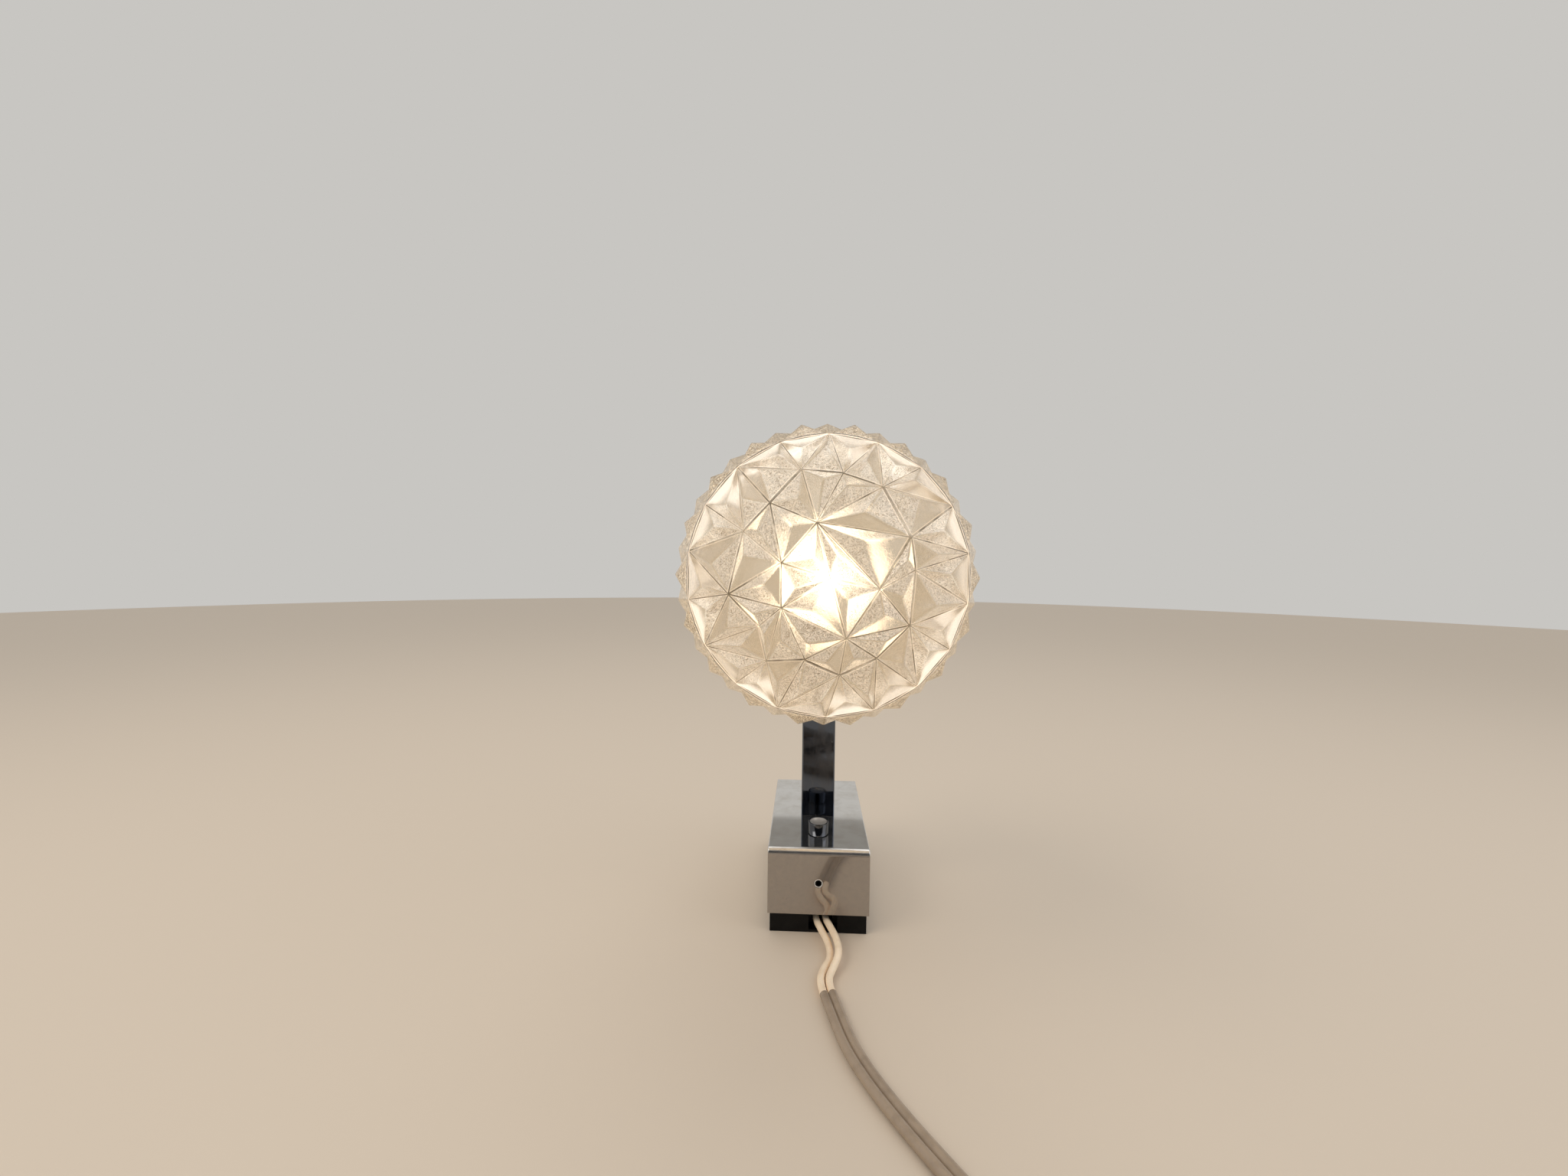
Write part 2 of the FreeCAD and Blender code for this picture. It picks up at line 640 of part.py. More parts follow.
def switch_body():
    """The moulded switch body with its threaded neck."""
    x = SWITCH_BODY_WIDTH / 2
    y = SWITCH_BODY_LENGTH / 2
    body = box((-x, x), (-y, y), (SWITCH_BODY_BOTTOM, SWITCH_BODY_TOP))
    uprights = [e for e in body.Edges if e.BoundBox.ZLength > SWITCH_BODY_HEIGHT / 2]
    body = body.makeFillet(MOULDED_CORNER, uprights)
    neck = post(SWITCH_NECK_DIAMETER / 2, SWITCH_BODY_TOP - SWITCH_ROOF / 2, SWITCH_NECK_TOP)
    guide = post(STEM_DIAMETER / 2 + SLIDE_GAP, SWITCH_CAVITY_TOP - 1, SWITCH_NECK_TOP + 1)
    cavity = post(SWITCH_CAVITY_DIAMETER / 2, SWITCH_CAVITY_TOP - SWITCH_CAVITY_DEPTH, SWITCH_CAVITY_TOP)
    return at_switch(body.fuse(neck).removeSplitter().cut(guide.fuse(cavity)))


def switch_nut():
    """The nut that clamps the switch to its bracket."""
    nut = hexagon(SWITCH_NUT_ACROSS_FLATS, BRACKET_TOP, SWITCH_NUT_TOP)
    bore = post(SWITCH_NECK_DIAMETER / 2 + THREAD_GAP, BRACKET_TOP - 1, SWITCH_NUT_TOP + 1)
    return at_switch(nut.cut(bore))


def switch_bracket():
    """The bent strip that hangs the switch under the cover's face."""
    inner = SWITCH_BODY_WIDTH / 2 + BRACKET_THICKNESS
    outer = inner + BRACKET_THICKNESS
    foot = outer + BRACKET_FOOT
    half = BRACKET_STRIP / 2
    under = COVER_UNDERSIDE
    bridge = box((-outer, outer), (-half, half), (SWITCH_BODY_TOP, BRACKET_TOP))
    parts = []
    for side in (-1, 1):
        leg = sorted((side * inner, side * outer))
        pad = sorted((side * inner, side * foot))
        parts.append(box(leg, (-half, half), (SWITCH_BODY_TOP, under)))
        parts.append(box(pad, (-half, half), (under - BRACKET_THICKNESS, under)))
    strip = bridge.fuse(parts).removeSplitter()
    hole = post(SWITCH_NECK_DIAMETER / 2 + THREAD_GAP, SWITCH_BODY_TOP - 1, BRACKET_TOP + 1)
    return at_switch(strip.cut(hole))


def switch_spring():
    """The coil spring between the switch's neck and the button's crown."""
    radius = (SPRING_DIAMETER - SPRING_WIRE) / 2
    bottom = SWITCH_NECK_TOP + SPRING_WIRE / 2
    height = BUTTON_CEILING - SWITCH_NECK_TOP - SPRING_WIRE
    helix = Part.makeHelix(height / SPRING_TURNS, height, radius)
    wire = Part.Wire(Part.makeCircle(SPRING_WIRE / 2, Vector(radius, 0, 0), Vector(0, 1, 0)))
    spring = Part.Wire(helix.Edges).makePipeShell([wire], True, True)
    spring.translate(Vector(0, 0, bottom))
    return at_switch(spring)


TAB_HEIGHT = SWITCH_BODY_BOTTOM + SWITCH_BODY_HEIGHT / 3


def switch_tabs():
    """The two brass blades on the switch's inner side."""
    back = SWITCH_BODY_LENGTH / 2
    tabs = []
    for side in (-1, 1):
        middle = side * TAB_SPACING / 2
        tab = box(
            (middle - TAB_WIDTH / 4, middle + TAB_WIDTH / 4),
            (back, back + TAB_LENGTH),
            (TAB_HEIGHT - TAB_WIDTH / 2, TAB_HEIGHT + TAB_WIDTH / 2),
        )
        slit = box(
            (middle - TAB_THICKNESS / 2, middle + TAB_THICKNESS / 2),
            (back, back + TAB_LENGTH),
            (TAB_HEIGHT - TAB_WIDTH / 2, TAB_HEIGHT + TAB_WIDTH / 2),
        )
        tabs.append(at_switch(tab.common(slit)))
    return tabs


BLOCK_BOTTOM = TRAY_WALL
BLOCK_TOP = BLOCK_BOTTOM + BLOCK_HEIGHT
BLOCK_HEAD_SEAT = BLOCK_TOP - BLOCK_SCREW_SINK - BLOCK_SCREW_HEAD_THICKNESS
POLE_AXIS = BLOCK_BOTTOM + POLE_HEIGHT
POLE_SCREW_TIP = POLE_AXIS + WIRE_DIAMETER / 2 + SEAT_GAP


def pole_places():
    """The four screw places of the terminal block."""
    y = BLOCK_LENGTH / 2 - POLE_SCREW_INSET
    return [(side * POLE_SPACING / 2, end * y) for side in (-1, 1) for end in (-1, 1)]


def terminal_block():
    """The two-pole terminal block, with a round channel for each pole."""
    x = BLOCK_WIDTH / 2
    y = BLOCK_LENGTH / 2
    body = box((-x, x), (-y, y), (BLOCK_BOTTOM, BLOCK_TOP))
    uprights = [e for e in body.Edges if e.BoundBox.ZLength > BLOCK_HEIGHT / 2]
    body = body.makeFillet(MOULDED_CORNER, uprights)
    cuts = [post(BLOCK_SCREW_DIAMETER / 2 + SEAT_GAP, BLOCK_BOTTOM - 1, BLOCK_TOP + 1)]
    cuts.append(post(BLOCK_SCREW_HEAD / 2 + SEAT_GAP, BLOCK_HEAD_SEAT, BLOCK_TOP + 1))
    for side in (-1, 1):
        centre = Vector(side * POLE_SPACING / 2, -y - 1, POLE_AXIS)
        radius = POLE_SLEEVE_DIAMETER / 2 + SEAT_GAP
        cuts.append(Part.makeCylinder(radius, BLOCK_LENGTH + 2, centre, Vector(0, 1, 0)))
    for place in pole_places():
        cuts.append(post(POLE_SCREW_DIAMETER / 2 + SEAT_GAP, POLE_AXIS, BLOCK_TOP + 1, *place))
    return body.cut(cuts)


def terminal_sleeves():
    """The brass sleeves in the block's channels, each tapped for two screws."""
    sleeves = []
    for side in (-1, 1):
        centre = Vector(side * POLE_SPACING / 2, -BLOCK_LENGTH / 2, POLE_AXIS)
        sleeve = Part.makeCylinder(POLE_SLEEVE_DIAMETER / 2, BLOCK_LENGTH, centre, Vector(0, 1, 0))
        bore = Part.makeCylinder(POLE_BORE / 2, BLOCK_LENGTH, centre, Vector(0, 1, 0))
        holes = [
            post(POLE_SCREW_DIAMETER / 2 + THREAD_GAP, POLE_AXIS, BLOCK_TOP, *place)
            for place in pole_places()
            if place[0] * side > 0
        ]
        sleeves.append(sleeve.cut(bore.fuse(holes)))
    return sleeves


def screw_slot(x, y, top):
    """The cut for a screwdriver's blade across a small screw's head."""
    half = SCREW_SLOT_WIDTH / 2
    reach = CLAMP_SCREW_HEAD
    return box((x - reach, x + reach), (y - half, y + half), (top - SCREW_SLOT_DEPTH, top + 1))


def terminal_screws():
    """The four slotted screws in the terminal block."""
    screws = []
    top = POLE_SCREW_TIP + POLE_SCREW_LENGTH
    for x, y in pole_places():
        screw = post(POLE_SCREW_DIAMETER / 2, POLE_SCREW_TIP, top, x, y)
        screws.append(screw.cut(screw_slot(x, y, top)))
    return screws


def block_screw():
    """The screw that holds the terminal block to the tray's floor."""
    head_top = BLOCK_HEAD_SEAT + BLOCK_SCREW_HEAD_THICKNESS
    shank = post(BLOCK_SCREW_DIAMETER / 2, TRAY_WALL / 4, BLOCK_HEAD_SEAT)
    head = post(BLOCK_SCREW_HEAD / 2, BLOCK_HEAD_SEAT, head_top)
    half = BLOCK_SCREW_SLOT / 2
    slot_bottom = head_top - BLOCK_SCREW_HEAD_THICKNESS / 2
    slot = box((-BLOCK_SCREW_HEAD, BLOCK_SCREW_HEAD), (-half, half), (slot_bottom, head_top + 1))
    return shank.fuse(head).removeSplitter().cut(slot)


CLAMP_SADDLE_TOP = TRAY_WALL + CLAMP_SADDLE
LEAD_INSIDE_HEIGHT = LEAD_LEFT_ROUTE[0][2]
CLAMP_BAR_BOTTOM = LEAD_INSIDE_HEIGHT + LEAD_DIAMETER / 2 + SEAT_GAP
CLAMP_BAR_TOP = CLAMP_BAR_BOTTOM + CLAMP_BAR_THICKNESS
CLAMP_Y = (-CLAMP_FROM_CENTRE - CLAMP_LENGTH / 2, -CLAMP_FROM_CENTRE + CLAMP_LENGTH / 2)
CLAMP_MIDDLE = (LEAD_LEFT_ROUTE[0][0] + LEAD_RIGHT_ROUTE[0][0]) / 2 + CLAMP_SIDE_SHIFT
CLAMP_X = (CLAMP_MIDDLE - CLAMP_WIDTH / 2, CLAMP_MIDDLE + CLAMP_WIDTH / 2)
CLAMP_SCREWS = (CLAMP_MIDDLE - CLAMP_SCREW_SPACING / 2, CLAMP_MIDDLE + CLAMP_SCREW_SPACING / 2)


def clamp_saddle():
    """The lower half of the cord clamp, with its two screw pillars."""
    base = box(CLAMP_X, CLAMP_Y, (TRAY_WALL, CLAMP_SADDLE_TOP))
    pillars = []
    for x in CLAMP_SCREWS:
        sides = (x - CLAMP_PILLAR / 2, x + CLAMP_PILLAR / 2)
        pillars.append(box(sides, CLAMP_Y, (TRAY_WALL, CLAMP_BAR_BOTTOM)))
    floor = TRAY_WALL + CLAMP_HOLE_FLOOR
    holes = [
        post(CLAMP_SCREW_DIAMETER / 2 + THREAD_GAP, floor, CLAMP_BAR_BOTTOM + 1, x, -CLAMP_FROM_CENTRE)
        for x in CLAMP_SCREWS
    ]
    return base.fuse(pillars).removeSplitter().cut(holes)


def clamp_bar():
    """The upper half of the cord clamp."""
    bar = box(CLAMP_X, CLAMP_Y, (CLAMP_BAR_BOTTOM, CLAMP_BAR_TOP))
    radius = CLAMP_SCREW_DIAMETER / 2 + SEAT_GAP
    holes = [
        post(radius, CLAMP_BAR_BOTTOM - 1, CLAMP_BAR_TOP + 1, x, -CLAMP_FROM_CENTRE)
        for x in CLAMP_SCREWS
    ]
    return bar.cut(holes)


def clamp_screws():
    """The two screws of the cord clamp."""
    screws = []
    tip = TRAY_WALL + CLAMP_SCREW_FLOOR
    head_top = CLAMP_BAR_TOP + CLAMP_SCREW_HEAD_THICKNESS
    for x in CLAMP_SCREWS:
        shank = post(CLAMP_SCREW_DIAMETER / 2, tip, CLAMP_BAR_TOP, x, -CLAMP_FROM_CENTRE)
        head = post(CLAMP_SCREW_HEAD / 2, CLAMP_BAR_TOP, head_top, x, -CLAMP_FROM_CENTRE)
        screws.append(shank.fuse(head).removeSplitter().cut(screw_slot(x, -CLAMP_FROM_CENTRE, head_top)))
    return screws


NIPPLE_INNER_REACH = ARM_INSIDE / 2 - NUT_THICKNESS - NIPPLE_END
HOLDER_FRONT = HOLDER_REAR + HOLDER_LENGTH
HOLDER_RADIUS = HOLDER_DIAMETER / 2
INSERT_REAR = HOLDER_JOINT - INSERT_THICKNESS
NIPPLE_OUTER_REACH = HOLDER_REAR + HOLDER_BASE
CONTACT_REAR = HOLDER_JOINT - CONTACT_SEAT_DEPTH


def globe_nipple():
    """The nipple that carries the globe from the arm's front wall."""
    return on_globe_axis(nipple(NIPPLE_INNER_REACH, NIPPLE_OUTER_REACH))


def globe_nut():
    """The nut on the globe's nipple inside the arm."""
    return on_globe_axis(nipple_nut(ARM_INSIDE / 2 - NUT_THICKNESS))


def globe_collar():
    """The chromed collar between the arm and the gallery."""
    bore = NIPPLE_DIAMETER / 2 + THREAD_GAP
    radius = COLLAR_DIAMETER / 2
    waist = radius - COLLAR_WAIST
    middle = (ARM_FRONT_REACH + COLLAR_END_REACH) / 2
    return turned([
        (ARM_FRONT_REACH, bore),
        (ARM_FRONT_REACH, radius),
        ((middle, waist), (COLLAR_END_REACH, radius)),
        (COLLAR_END_REACH, bore),
    ])


def rib_reaches(shift):
    """Where each rib of a thread starts, counted in whole pitches."""
    return [THREAD_FIRST_REACH + shift + k * THREAD_PITCH for k in range(THREAD_TURNS)]


def gallery():
    """The chromed cup that holds the globe's neck, with a rolled-in thread between the neck's ribs."""
    bore = GALLERY_BORE_RADIUS
    sag = GALLERY_BEND * QUARTER_SAG
    cup = turned([
        (COLLAR_END_REACH, NIPPLE_DIAMETER / 2 + THREAD_GAP),
        (COLLAR_END_REACH, GALLERY_RADIUS - GALLERY_BEND),
        ((COLLAR_END_REACH + sag, GALLERY_RADIUS - sag), (COLLAR_END_REACH + GALLERY_BEND, GALLERY_RADIUS)),
        (GALLERY_RIM_REACH, GALLERY_RADIUS),
        (GALLERY_RIM_REACH, bore),
        (GALLERY_FLOOR_REACH, bore),
        (GALLERY_FLOOR_REACH, NIPPLE_DIAMETER / 2 + THREAD_GAP),
    ])
    inner = NECK_RADIUS + THREAD_SIDE_GAP
    gap_start = THREAD_WIDTH + THREAD_SIDE_GAP
    gap_end = THREAD_PITCH - THREAD_SIDE_GAP
    half_width = (gap_end - gap_start) / 2
    ribs = []
    for start in rib_reaches(0)[:-1]:
        middle = start + (gap_start + gap_end) / 2
        ribs.append(turned([
            (middle - half_width, bore + GALLERY_WALL / 2),
            (middle - half_width, bore),
            (middle - half_width / 3, inner),
            (middle + half_width / 3, inner),
            (middle + half_width, bore),
            (middle + half_width, bore + GALLERY_WALL / 2),
        ]))
    return cup.fuse(ribs).removeSplitter()


def gasket():
    """The rubber ring between the gallery's floor and the globe's lip."""
    start = GALLERY_FLOOR_REACH
    end = start + GASKET_THICKNESS
    return turned([
        (start, NECK_RADIUS - NECK_WALL),
        (start, NECK_RADIUS + THREAD_SIDE_GAP),
        (end, NECK_RADIUS + THREAD_SIDE_GAP),
        (end, NECK_RADIUS - NECK_WALL),
    ])


# Crossings of the grooves on the globe, ring by ring from the pole that faces the viewer to the neck.
# A crossing is (polar, azimuth): the angle from that pole, and the turn from +X towards +Z. The first
# three rings are uneven, as the stars on the globe's front are; the others are even.
GLOBE_FRONT_RINGS = [
    [(0, 0)],
    [(18, 104), (16, 163), (18, 212), (20, 286), (16, 348)],
    [
        (28, 6), (30, 27), (36, 60), (36, 83), (39, 105), (32, 129), (33, 152),
        (35, 190), (28, 215), (36, 234), (28, 254), (33, 277), (31, 301), (31, 330),
    ],
]
NECK_RING_POLAR = 180 - math.degrees(math.asin((NECK_RADIUS + SEAT_GAP) / GLOBE_GROOVE_RADIUS))
GLOBE_EVEN_RINGS = [(61, 18, 10), (90, 18, 0), (119, 18, 10), (138, 12, 0), (NECK_RING_POLAR, 9, 0)]
PEAK_SHARES = (0.45, 0.30, 0.25)
BELT_SHARES = {1: (0.25, 0.25, 0.5), 2: (0.2, 0.4, 0.4)}
SHOULDER_SHARES = (0.56, 0.22, 0.22)


def globe_point(polar, azimuth, radius):
    """A point on the globe, from its two angles in degrees and its radius."""
    a = math.radians(polar)
    b = math.radians(azimuth)
    across = math.sin(a) * radius
    y = -GLOBE_REACH - math.cos(a) * radius
    return Vector(across * math.cos(b), y, GLOBE_AXIS_HEIGHT + across * math.sin(b))


def globe_rings():
    """The crossings of every ring, as points at the depth of the grooves."""
    rings = [list(ring) for ring in GLOBE_FRONT_RINGS]
    for polar, count, first in GLOBE_EVEN_RINGS:
        rings.append([(polar, first + 360.0 * k / count) for k in range(count)])
    return [[globe_point(polar, azimuth, GLOBE_GROOVE_RADIUS) for polar, azimuth in ring] for ring in rings]


def band_triangles(inner, outer):
    """Triangles between two rings across the shorter diagonals, with how many outer corners each has."""
    if len(inner) == 1:
        return [((inner[0], outer[k], outer[(k + 1) % len(outer)]), 2) for k in range(len(outer))]
    start = min(range(len(outer)), key=lambda k: outer[k].distanceToPoint(inner[0]))
    ring = outer[start:] + outer[:start]
    triangles = []
    i = 0
    j = 0
    while i < len(inner) or j < len(ring):
        a = inner[i % len(inner)]
        b = ring[j % len(ring)]
        next_a = inner[(i + 1) % len(inner)]
        next_b = ring[(j + 1) % len(ring)]
        shorter = next_a.distanceToPoint(b) < next_b.distanceToPoint(a)
        if j == len(ring) or (i < len(inner) and shorter):
            triangles.append(((a, next_a, b), 1))
            i += 1
        else:
            triangles.append(((a, b, next_b), 2))
            j += 1
    return triangles


def raised_facets(corners, shares):
    """The three facets of the low pyramid on one triangle.

    Its peak leans to the corner with the largest share.
    """
    centre = Vector(0, -GLOBE_REACH, GLOBE_AXIS_HEIGHT)
    lean = Vector(0, 0, 0)
    for share, corner in zip(shares, corners):
        lean = lean + (corner - centre) * share
    peak = centre + lean.normalize() * GLOBE_PEAK_RADIUS
    return [(corners[k], corners[(k + 1) % 3], peak) for k in range(3)]


def glass_shade():
    """The pressed glass globe: raised three-sided facets outside, smooth inside, with a ribbed neck."""
    rings = globe_rings()
    belt = len(GLOBE_FRONT_RINGS)
    facets = []
    for band, (inner, outer) in enumerate(zip(rings, rings[1:])):
        for index, (corners, outer_corners) in enumerate(band_triangles(inner, outer)):
            turn = index % 3
            shares = PEAK_SHARES[turn:] + PEAK_SHARES[:turn]
            if band == belt:
                shares = BELT_SHARES[outer_corners]
            elif band == belt - 1 and outer_corners == 2:
                shares = SHOULDER_SHARES
            facets += raised_facets(corners, shares)
    rear_angle = math.radians(180 - NECK_RING_POLAR)
    rear = Vector(0, GLOBE_GROOVE_RADIUS * math.cos(rear_angle) - GLOBE_REACH, GLOBE_AXIS_HEIGHT)
    last = rings[-1]
    facets += [(last[k], last[(k + 1) % len(last)], rear) for k in range(len(last))]
    skin = Part.makeShell([Part.Face(Part.makePolygon([a, b, c, a])) for a, b, c in facets])
    skin.sewShape()
    body = Part.makeSolid(skin)
    if body.Volume < 0:
        body.reverse()
    bore_radius = NECK_RADIUS - NECK_WALL
    neck = rod(NECK_RADIUS, NECK_END_REACH, GLOBE_REACH - GLOBE_INNER_RADIUS * NECK_INTO_BALL)
    ribs = []
    for start in rib_reaches(0):
        ribs.append(turned([
            (start, bore_radius + NECK_WALL / 2),
            (start, NECK_RADIUS),
            (start + THREAD_WIDTH / 4, NECK_RADIUS + THREAD_HEIGHT),
            (start + THREAD_WIDTH * 3 / 4, NECK_RADIUS + THREAD_HEIGHT),
            (start + THREAD_WIDTH, NECK_RADIUS),
            (start + THREAD_WIDTH, bore_radius + NECK_WALL / 2),
        ]))
    body = body.fuse([neck] + ribs)
    hollow = Part.makeSphere(GLOBE_INNER_RADIUS, Vector(0, -GLOBE_REACH, GLOBE_AXIS_HEIGHT))
    hollow = hollow.fuse(rod(bore_radius, NECK_END_REACH - 1, GLOBE_REACH))
    return body.cut(hollow)


BULB_ROOT_RADIUS = BULB_THREAD_ROOT / 2
BULB_CREST_RADIUS = BULB_THREAD_DIAMETER / 2
SLEEVE_ROOT_RADIUS = BULB_CREST_RADIUS + BULB_THREAD_GAP
SLEEVE_RADIUS = SLEEVE_ROOT_RADIUS + SLEEVE_THICKNESS
BULB_THREAD_START = BULB_CONTACT_REACH + BULB_CONTACT_LENGTH + BULB_THREAD_INSET
SLEEVE_END = BULB_THREAD_START + (BULB_THREAD_TURNS + SLEEVE_LAST_TURN) * BULB_THREAD_PITCH
SLEEVE_REACHES = (HOLDER_JOINT + SLEEVE_FROM_JOINT, SLEEVE_END)


def holder_cap():
    """The rear half of the lampholder, screwed onto the globe's nipple."""
    bore = NIPPLE_DIAMETER / 2 + THREAD_GAP
    chamber = HOLDER_RADIUS - HOLDER_WALL
    shelf = chamber - INSERT_SHELF
    sag = HOLDER_BEND * QUARTER_SAG
    floor = HOLDER_REAR + HOLDER_BASE
    return turned([
        (HOLDER_REAR, bore),
        (HOLDER_REAR, HOLDER_RADIUS - HOLDER_BEND),
        ((HOLDER_REAR + sag, HOLDER_RADIUS - sag), (HOLDER_REAR + HOLDER_BEND, HOLDER_RADIUS)),
        (HOLDER_JOINT, HOLDER_RADIUS),
        (HOLDER_JOINT, chamber),
        (INSERT_REAR, chamber),
        (INSERT_REAR, shelf),
        (floor, shelf),
        (floor, bore),
    ])


def holder_skirt():
    """The front half of the lampholder, with the seat of the threaded sleeve."""
    bore = SLEEVE_RADIUS + SEAT_GAP
    front = HOLDER_RADIUS - HOLDER_TAPER
    groove_start = HOLDER_JOINT + HOLDER_GROOVE_START
    groove_end = groove_start + HOLDER_GROOVE_WIDTH
    groove_floor = HOLDER_RADIUS - HOLDER_GROOVE_DEPTH
    nose = (HOLDER_FRONT - HOLDER_NOSE_LENGTH * QUARTER_SAG, front - HOLDER_NOSE_DROP * QUARTER_SAG)
    return turned([
        (HOLDER_JOINT, bore),
        (HOLDER_JOINT, HOLDER_RADIUS),
        (groove_start, HOLDER_RADIUS),
        (groove_start, groove_floor),
        (groove_end, groove_floor),
        (groove_end, HOLDER_RADIUS),
        (HOLDER_FRONT - HOLDER_NOSE_LENGTH, front),
        (nose, (HOLDER_FRONT, front - HOLDER_NOSE_DROP)),
        (HOLDER_FRONT, bore),
    ])


def holder_insert():
    """The ceramic disc in the lampholder that carries its contacts."""
    radius = HOLDER_RADIUS - HOLDER_WALL - SEAT_GAP
    body = turned([
        (INSERT_REAR, 0),
        (INSERT_REAR, radius),
        (HOLDER_JOINT, radius),
        (HOLDER_JOINT, CONTACT_SHANK / 2),
        (CONTACT_REAR, CONTACT_SHANK / 2),
        (CONTACT_REAR, 0),
    ])
    holes = [
        rod(WIRE_DIAMETER / 2 + SEAT_GAP, INSERT_REAR - 1, INSERT_REAR + INSERT_THICKNESS / 2, x=0, z=height)
        for height in WIRE_END_HEIGHTS
    ]
    return body.cut(holes)


def holder_contact():
    """The centre contact on the ceramic disc."""
    tip = BULB_CONTACT_REACH - SEAT_GAP
    return turned([
        (CONTACT_REAR, 0),
        (CONTACT_REAR, CONTACT_SHANK / 2 - THREAD_GAP),
        (HOLDER_JOINT, CONTACT_SHANK / 2 - THREAD_GAP),
        (HOLDER_JOINT, CONTACT_SHANK),
        (HOLDER_JOINT + CONTACT_SHANK / 8, CONTACT_SHANK),
        (tip, CONTACT_SHANK / 3),
        (tip, 0),
    ])


def holder_sleeve():
    """The brass screw sleeve, its ribs lying between those of the bulb's cap."""
    start, end = SLEEVE_REACHES
    root = SLEEVE_ROOT_RADIUS
    crest = BULB_ROOT_RADIUS + BULB_THREAD_GAP
    profile = [(start, SLEEVE_RADIUS), (start, root)]
    width = BULB_THREAD_PITCH - BULB_THREAD_CREST - 2 * BULB_THREAD_GAP
    for turn in range(BULB_THREAD_TURNS):
        middle = BULB_THREAD_START + turn * BULB_THREAD_PITCH + (BULB_THREAD_PITCH + BULB_THREAD_CREST) / 2
        if middle + width / 2 < end:
            profile += [
                (middle - width / 2, root),
                (middle - width / 4, crest),
                (middle + width / 4, crest),
                (middle + width / 2, root),
            ]
    profile += [(end, root), (end, SLEEVE_RADIUS)]
    return turned(profile)


def bulb_cap():
    """The bulb's nickelled screw cap."""
    start = BULB_CONTACT_REACH + BULB_CONTACT_LENGTH
    end = BULB_CONTACT_REACH + BULB_CAP_LENGTH
    wall = BULB_CAP_WALL
    flare = BULB_NECK_DIAMETER / 2
    profile = [(start, BULB_ROOT_RADIUS - wall), (start, BULB_ROOT_RADIUS)]
    for turn in range(BULB_THREAD_TURNS):
        rib = BULB_THREAD_START + turn * BULB_THREAD_PITCH
        profile += [
            (rib, BULB_ROOT_RADIUS),
            (rib + BULB_THREAD_CREST / 3, BULB_CREST_RADIUS),
            (rib + BULB_THREAD_CREST * 2 / 3, BULB_CREST_RADIUS),
            (rib + BULB_THREAD_CREST, BULB_ROOT_RADIUS),
        ]
    neck = SLEEVE_END + BULB_CAP_RIM
    profile += [
        (neck, BULB_ROOT_RADIUS),
        (end - BULB_CAP_RIM, flare),
        (end, flare),
        (end, flare - wall),
        (end - BULB_CAP_RIM, flare - wall),
        (neck, BULB_ROOT_RADIUS - wall),
    ]
    return turned(profile)


def bulb_contact():
    """The insulator and solder tip at the bulb's end."""
    start = BULB_CONTACT_REACH
    end = BULB_CONTACT_REACH + BULB_CONTACT_LENGTH
    solder = [(start + along, radius) for along, radius in SOLDER_TIP]
    disc = [(solder[-1][0], TIP_DISC_RADIUS), (end, BULB_ROOT_RADIUS - TIP_DISC_INSET)]
    return turned([(start, 0)] + solder + disc + [(end, 0)])


def bulb_glass():
    """The round opal bulb, blown thin, with its neck running into the screw cap."""
    radius = BULB_DIAMETER / 2
    inner = radius - BULB_GLASS
    neck = BULB_NECK_DIAMETER / 2 - BULB_NECK_IN_CAP
    foot = BULB_CONTACT_REACH + BULB_CAP_LENGTH - BULB_FOOT_IN_CAP
    meet = neck + BULB_SHOULDER
    lean = math.asin(meet / radius)
    mid = (math.pi + lean) / 2

    def ball(angle, size):
        return (BULB_REACH - size * math.cos(angle), size * math.sin(angle))

    bow_outer = ((foot + ball(lean, radius)[0]) / 2 + BULB_BOW[0], neck + BULB_BOW[1])
    bow_inner = (bow_outer[0], bow_outer[1] - BULB_GLASS)
    return turned([
        (foot, neck),
        (bow_outer, ball(lean, radius)),
        (ball(mid, radius), (BULB_REACH + radius, 0)),
        (BULB_REACH + inner, 0),
        (ball(mid, inner), ball(lean, inner)),
        (bow_inner, (foot, neck - BULB_GLASS)),
    ])


def bulb_stem():
    """The glass stem inside the bulb, up to the filament's supports."""
    foot = BULB_CONTACT_REACH + BULB_CAP_LENGTH - BULB_FOOT_IN_CAP
    end = BULB_REACH - BULB_DIAMETER / 4
    flare = BULB_NECK_DIAMETER / 2 - BULB_NECK_IN_CAP - BULB_GLASS
    middle = (foot + STEM_FLARE_MIDDLE[0], STEM_FLARE_MIDDLE[1])
    straight = (foot + STEM_FLARE_END[0], STEM_FLARE_END[1])
    return turned([
        (foot, 0),
        (foot, flare),
        (middle, straight),
        (end, STEM_FLARE_END[1]),
        (end, 0),
    ])


def bulb_filament():
    """The filament and its two supports, standing on the glass stem."""
    base = BULB_REACH - BULB_DIAMETER / 4
    supports = [
        rod(SUPPORT_DIAMETER / 2, base, BULB_REACH, x=side * SUPPORT_SPACING / 2)
        for side in (-1, 1)
    ]
    end = Vector(-FILAMENT_LENGTH / 2, -BULB_REACH - FILAMENT_AHEAD, GLOBE_AXIS_HEIGHT)
    coil = Part.makeCylinder(FILAMENT_DIAMETER / 2, FILAMENT_LENGTH, end, Vector(1, 0, 0))
    return supports[0].fuse([supports[1], coil])


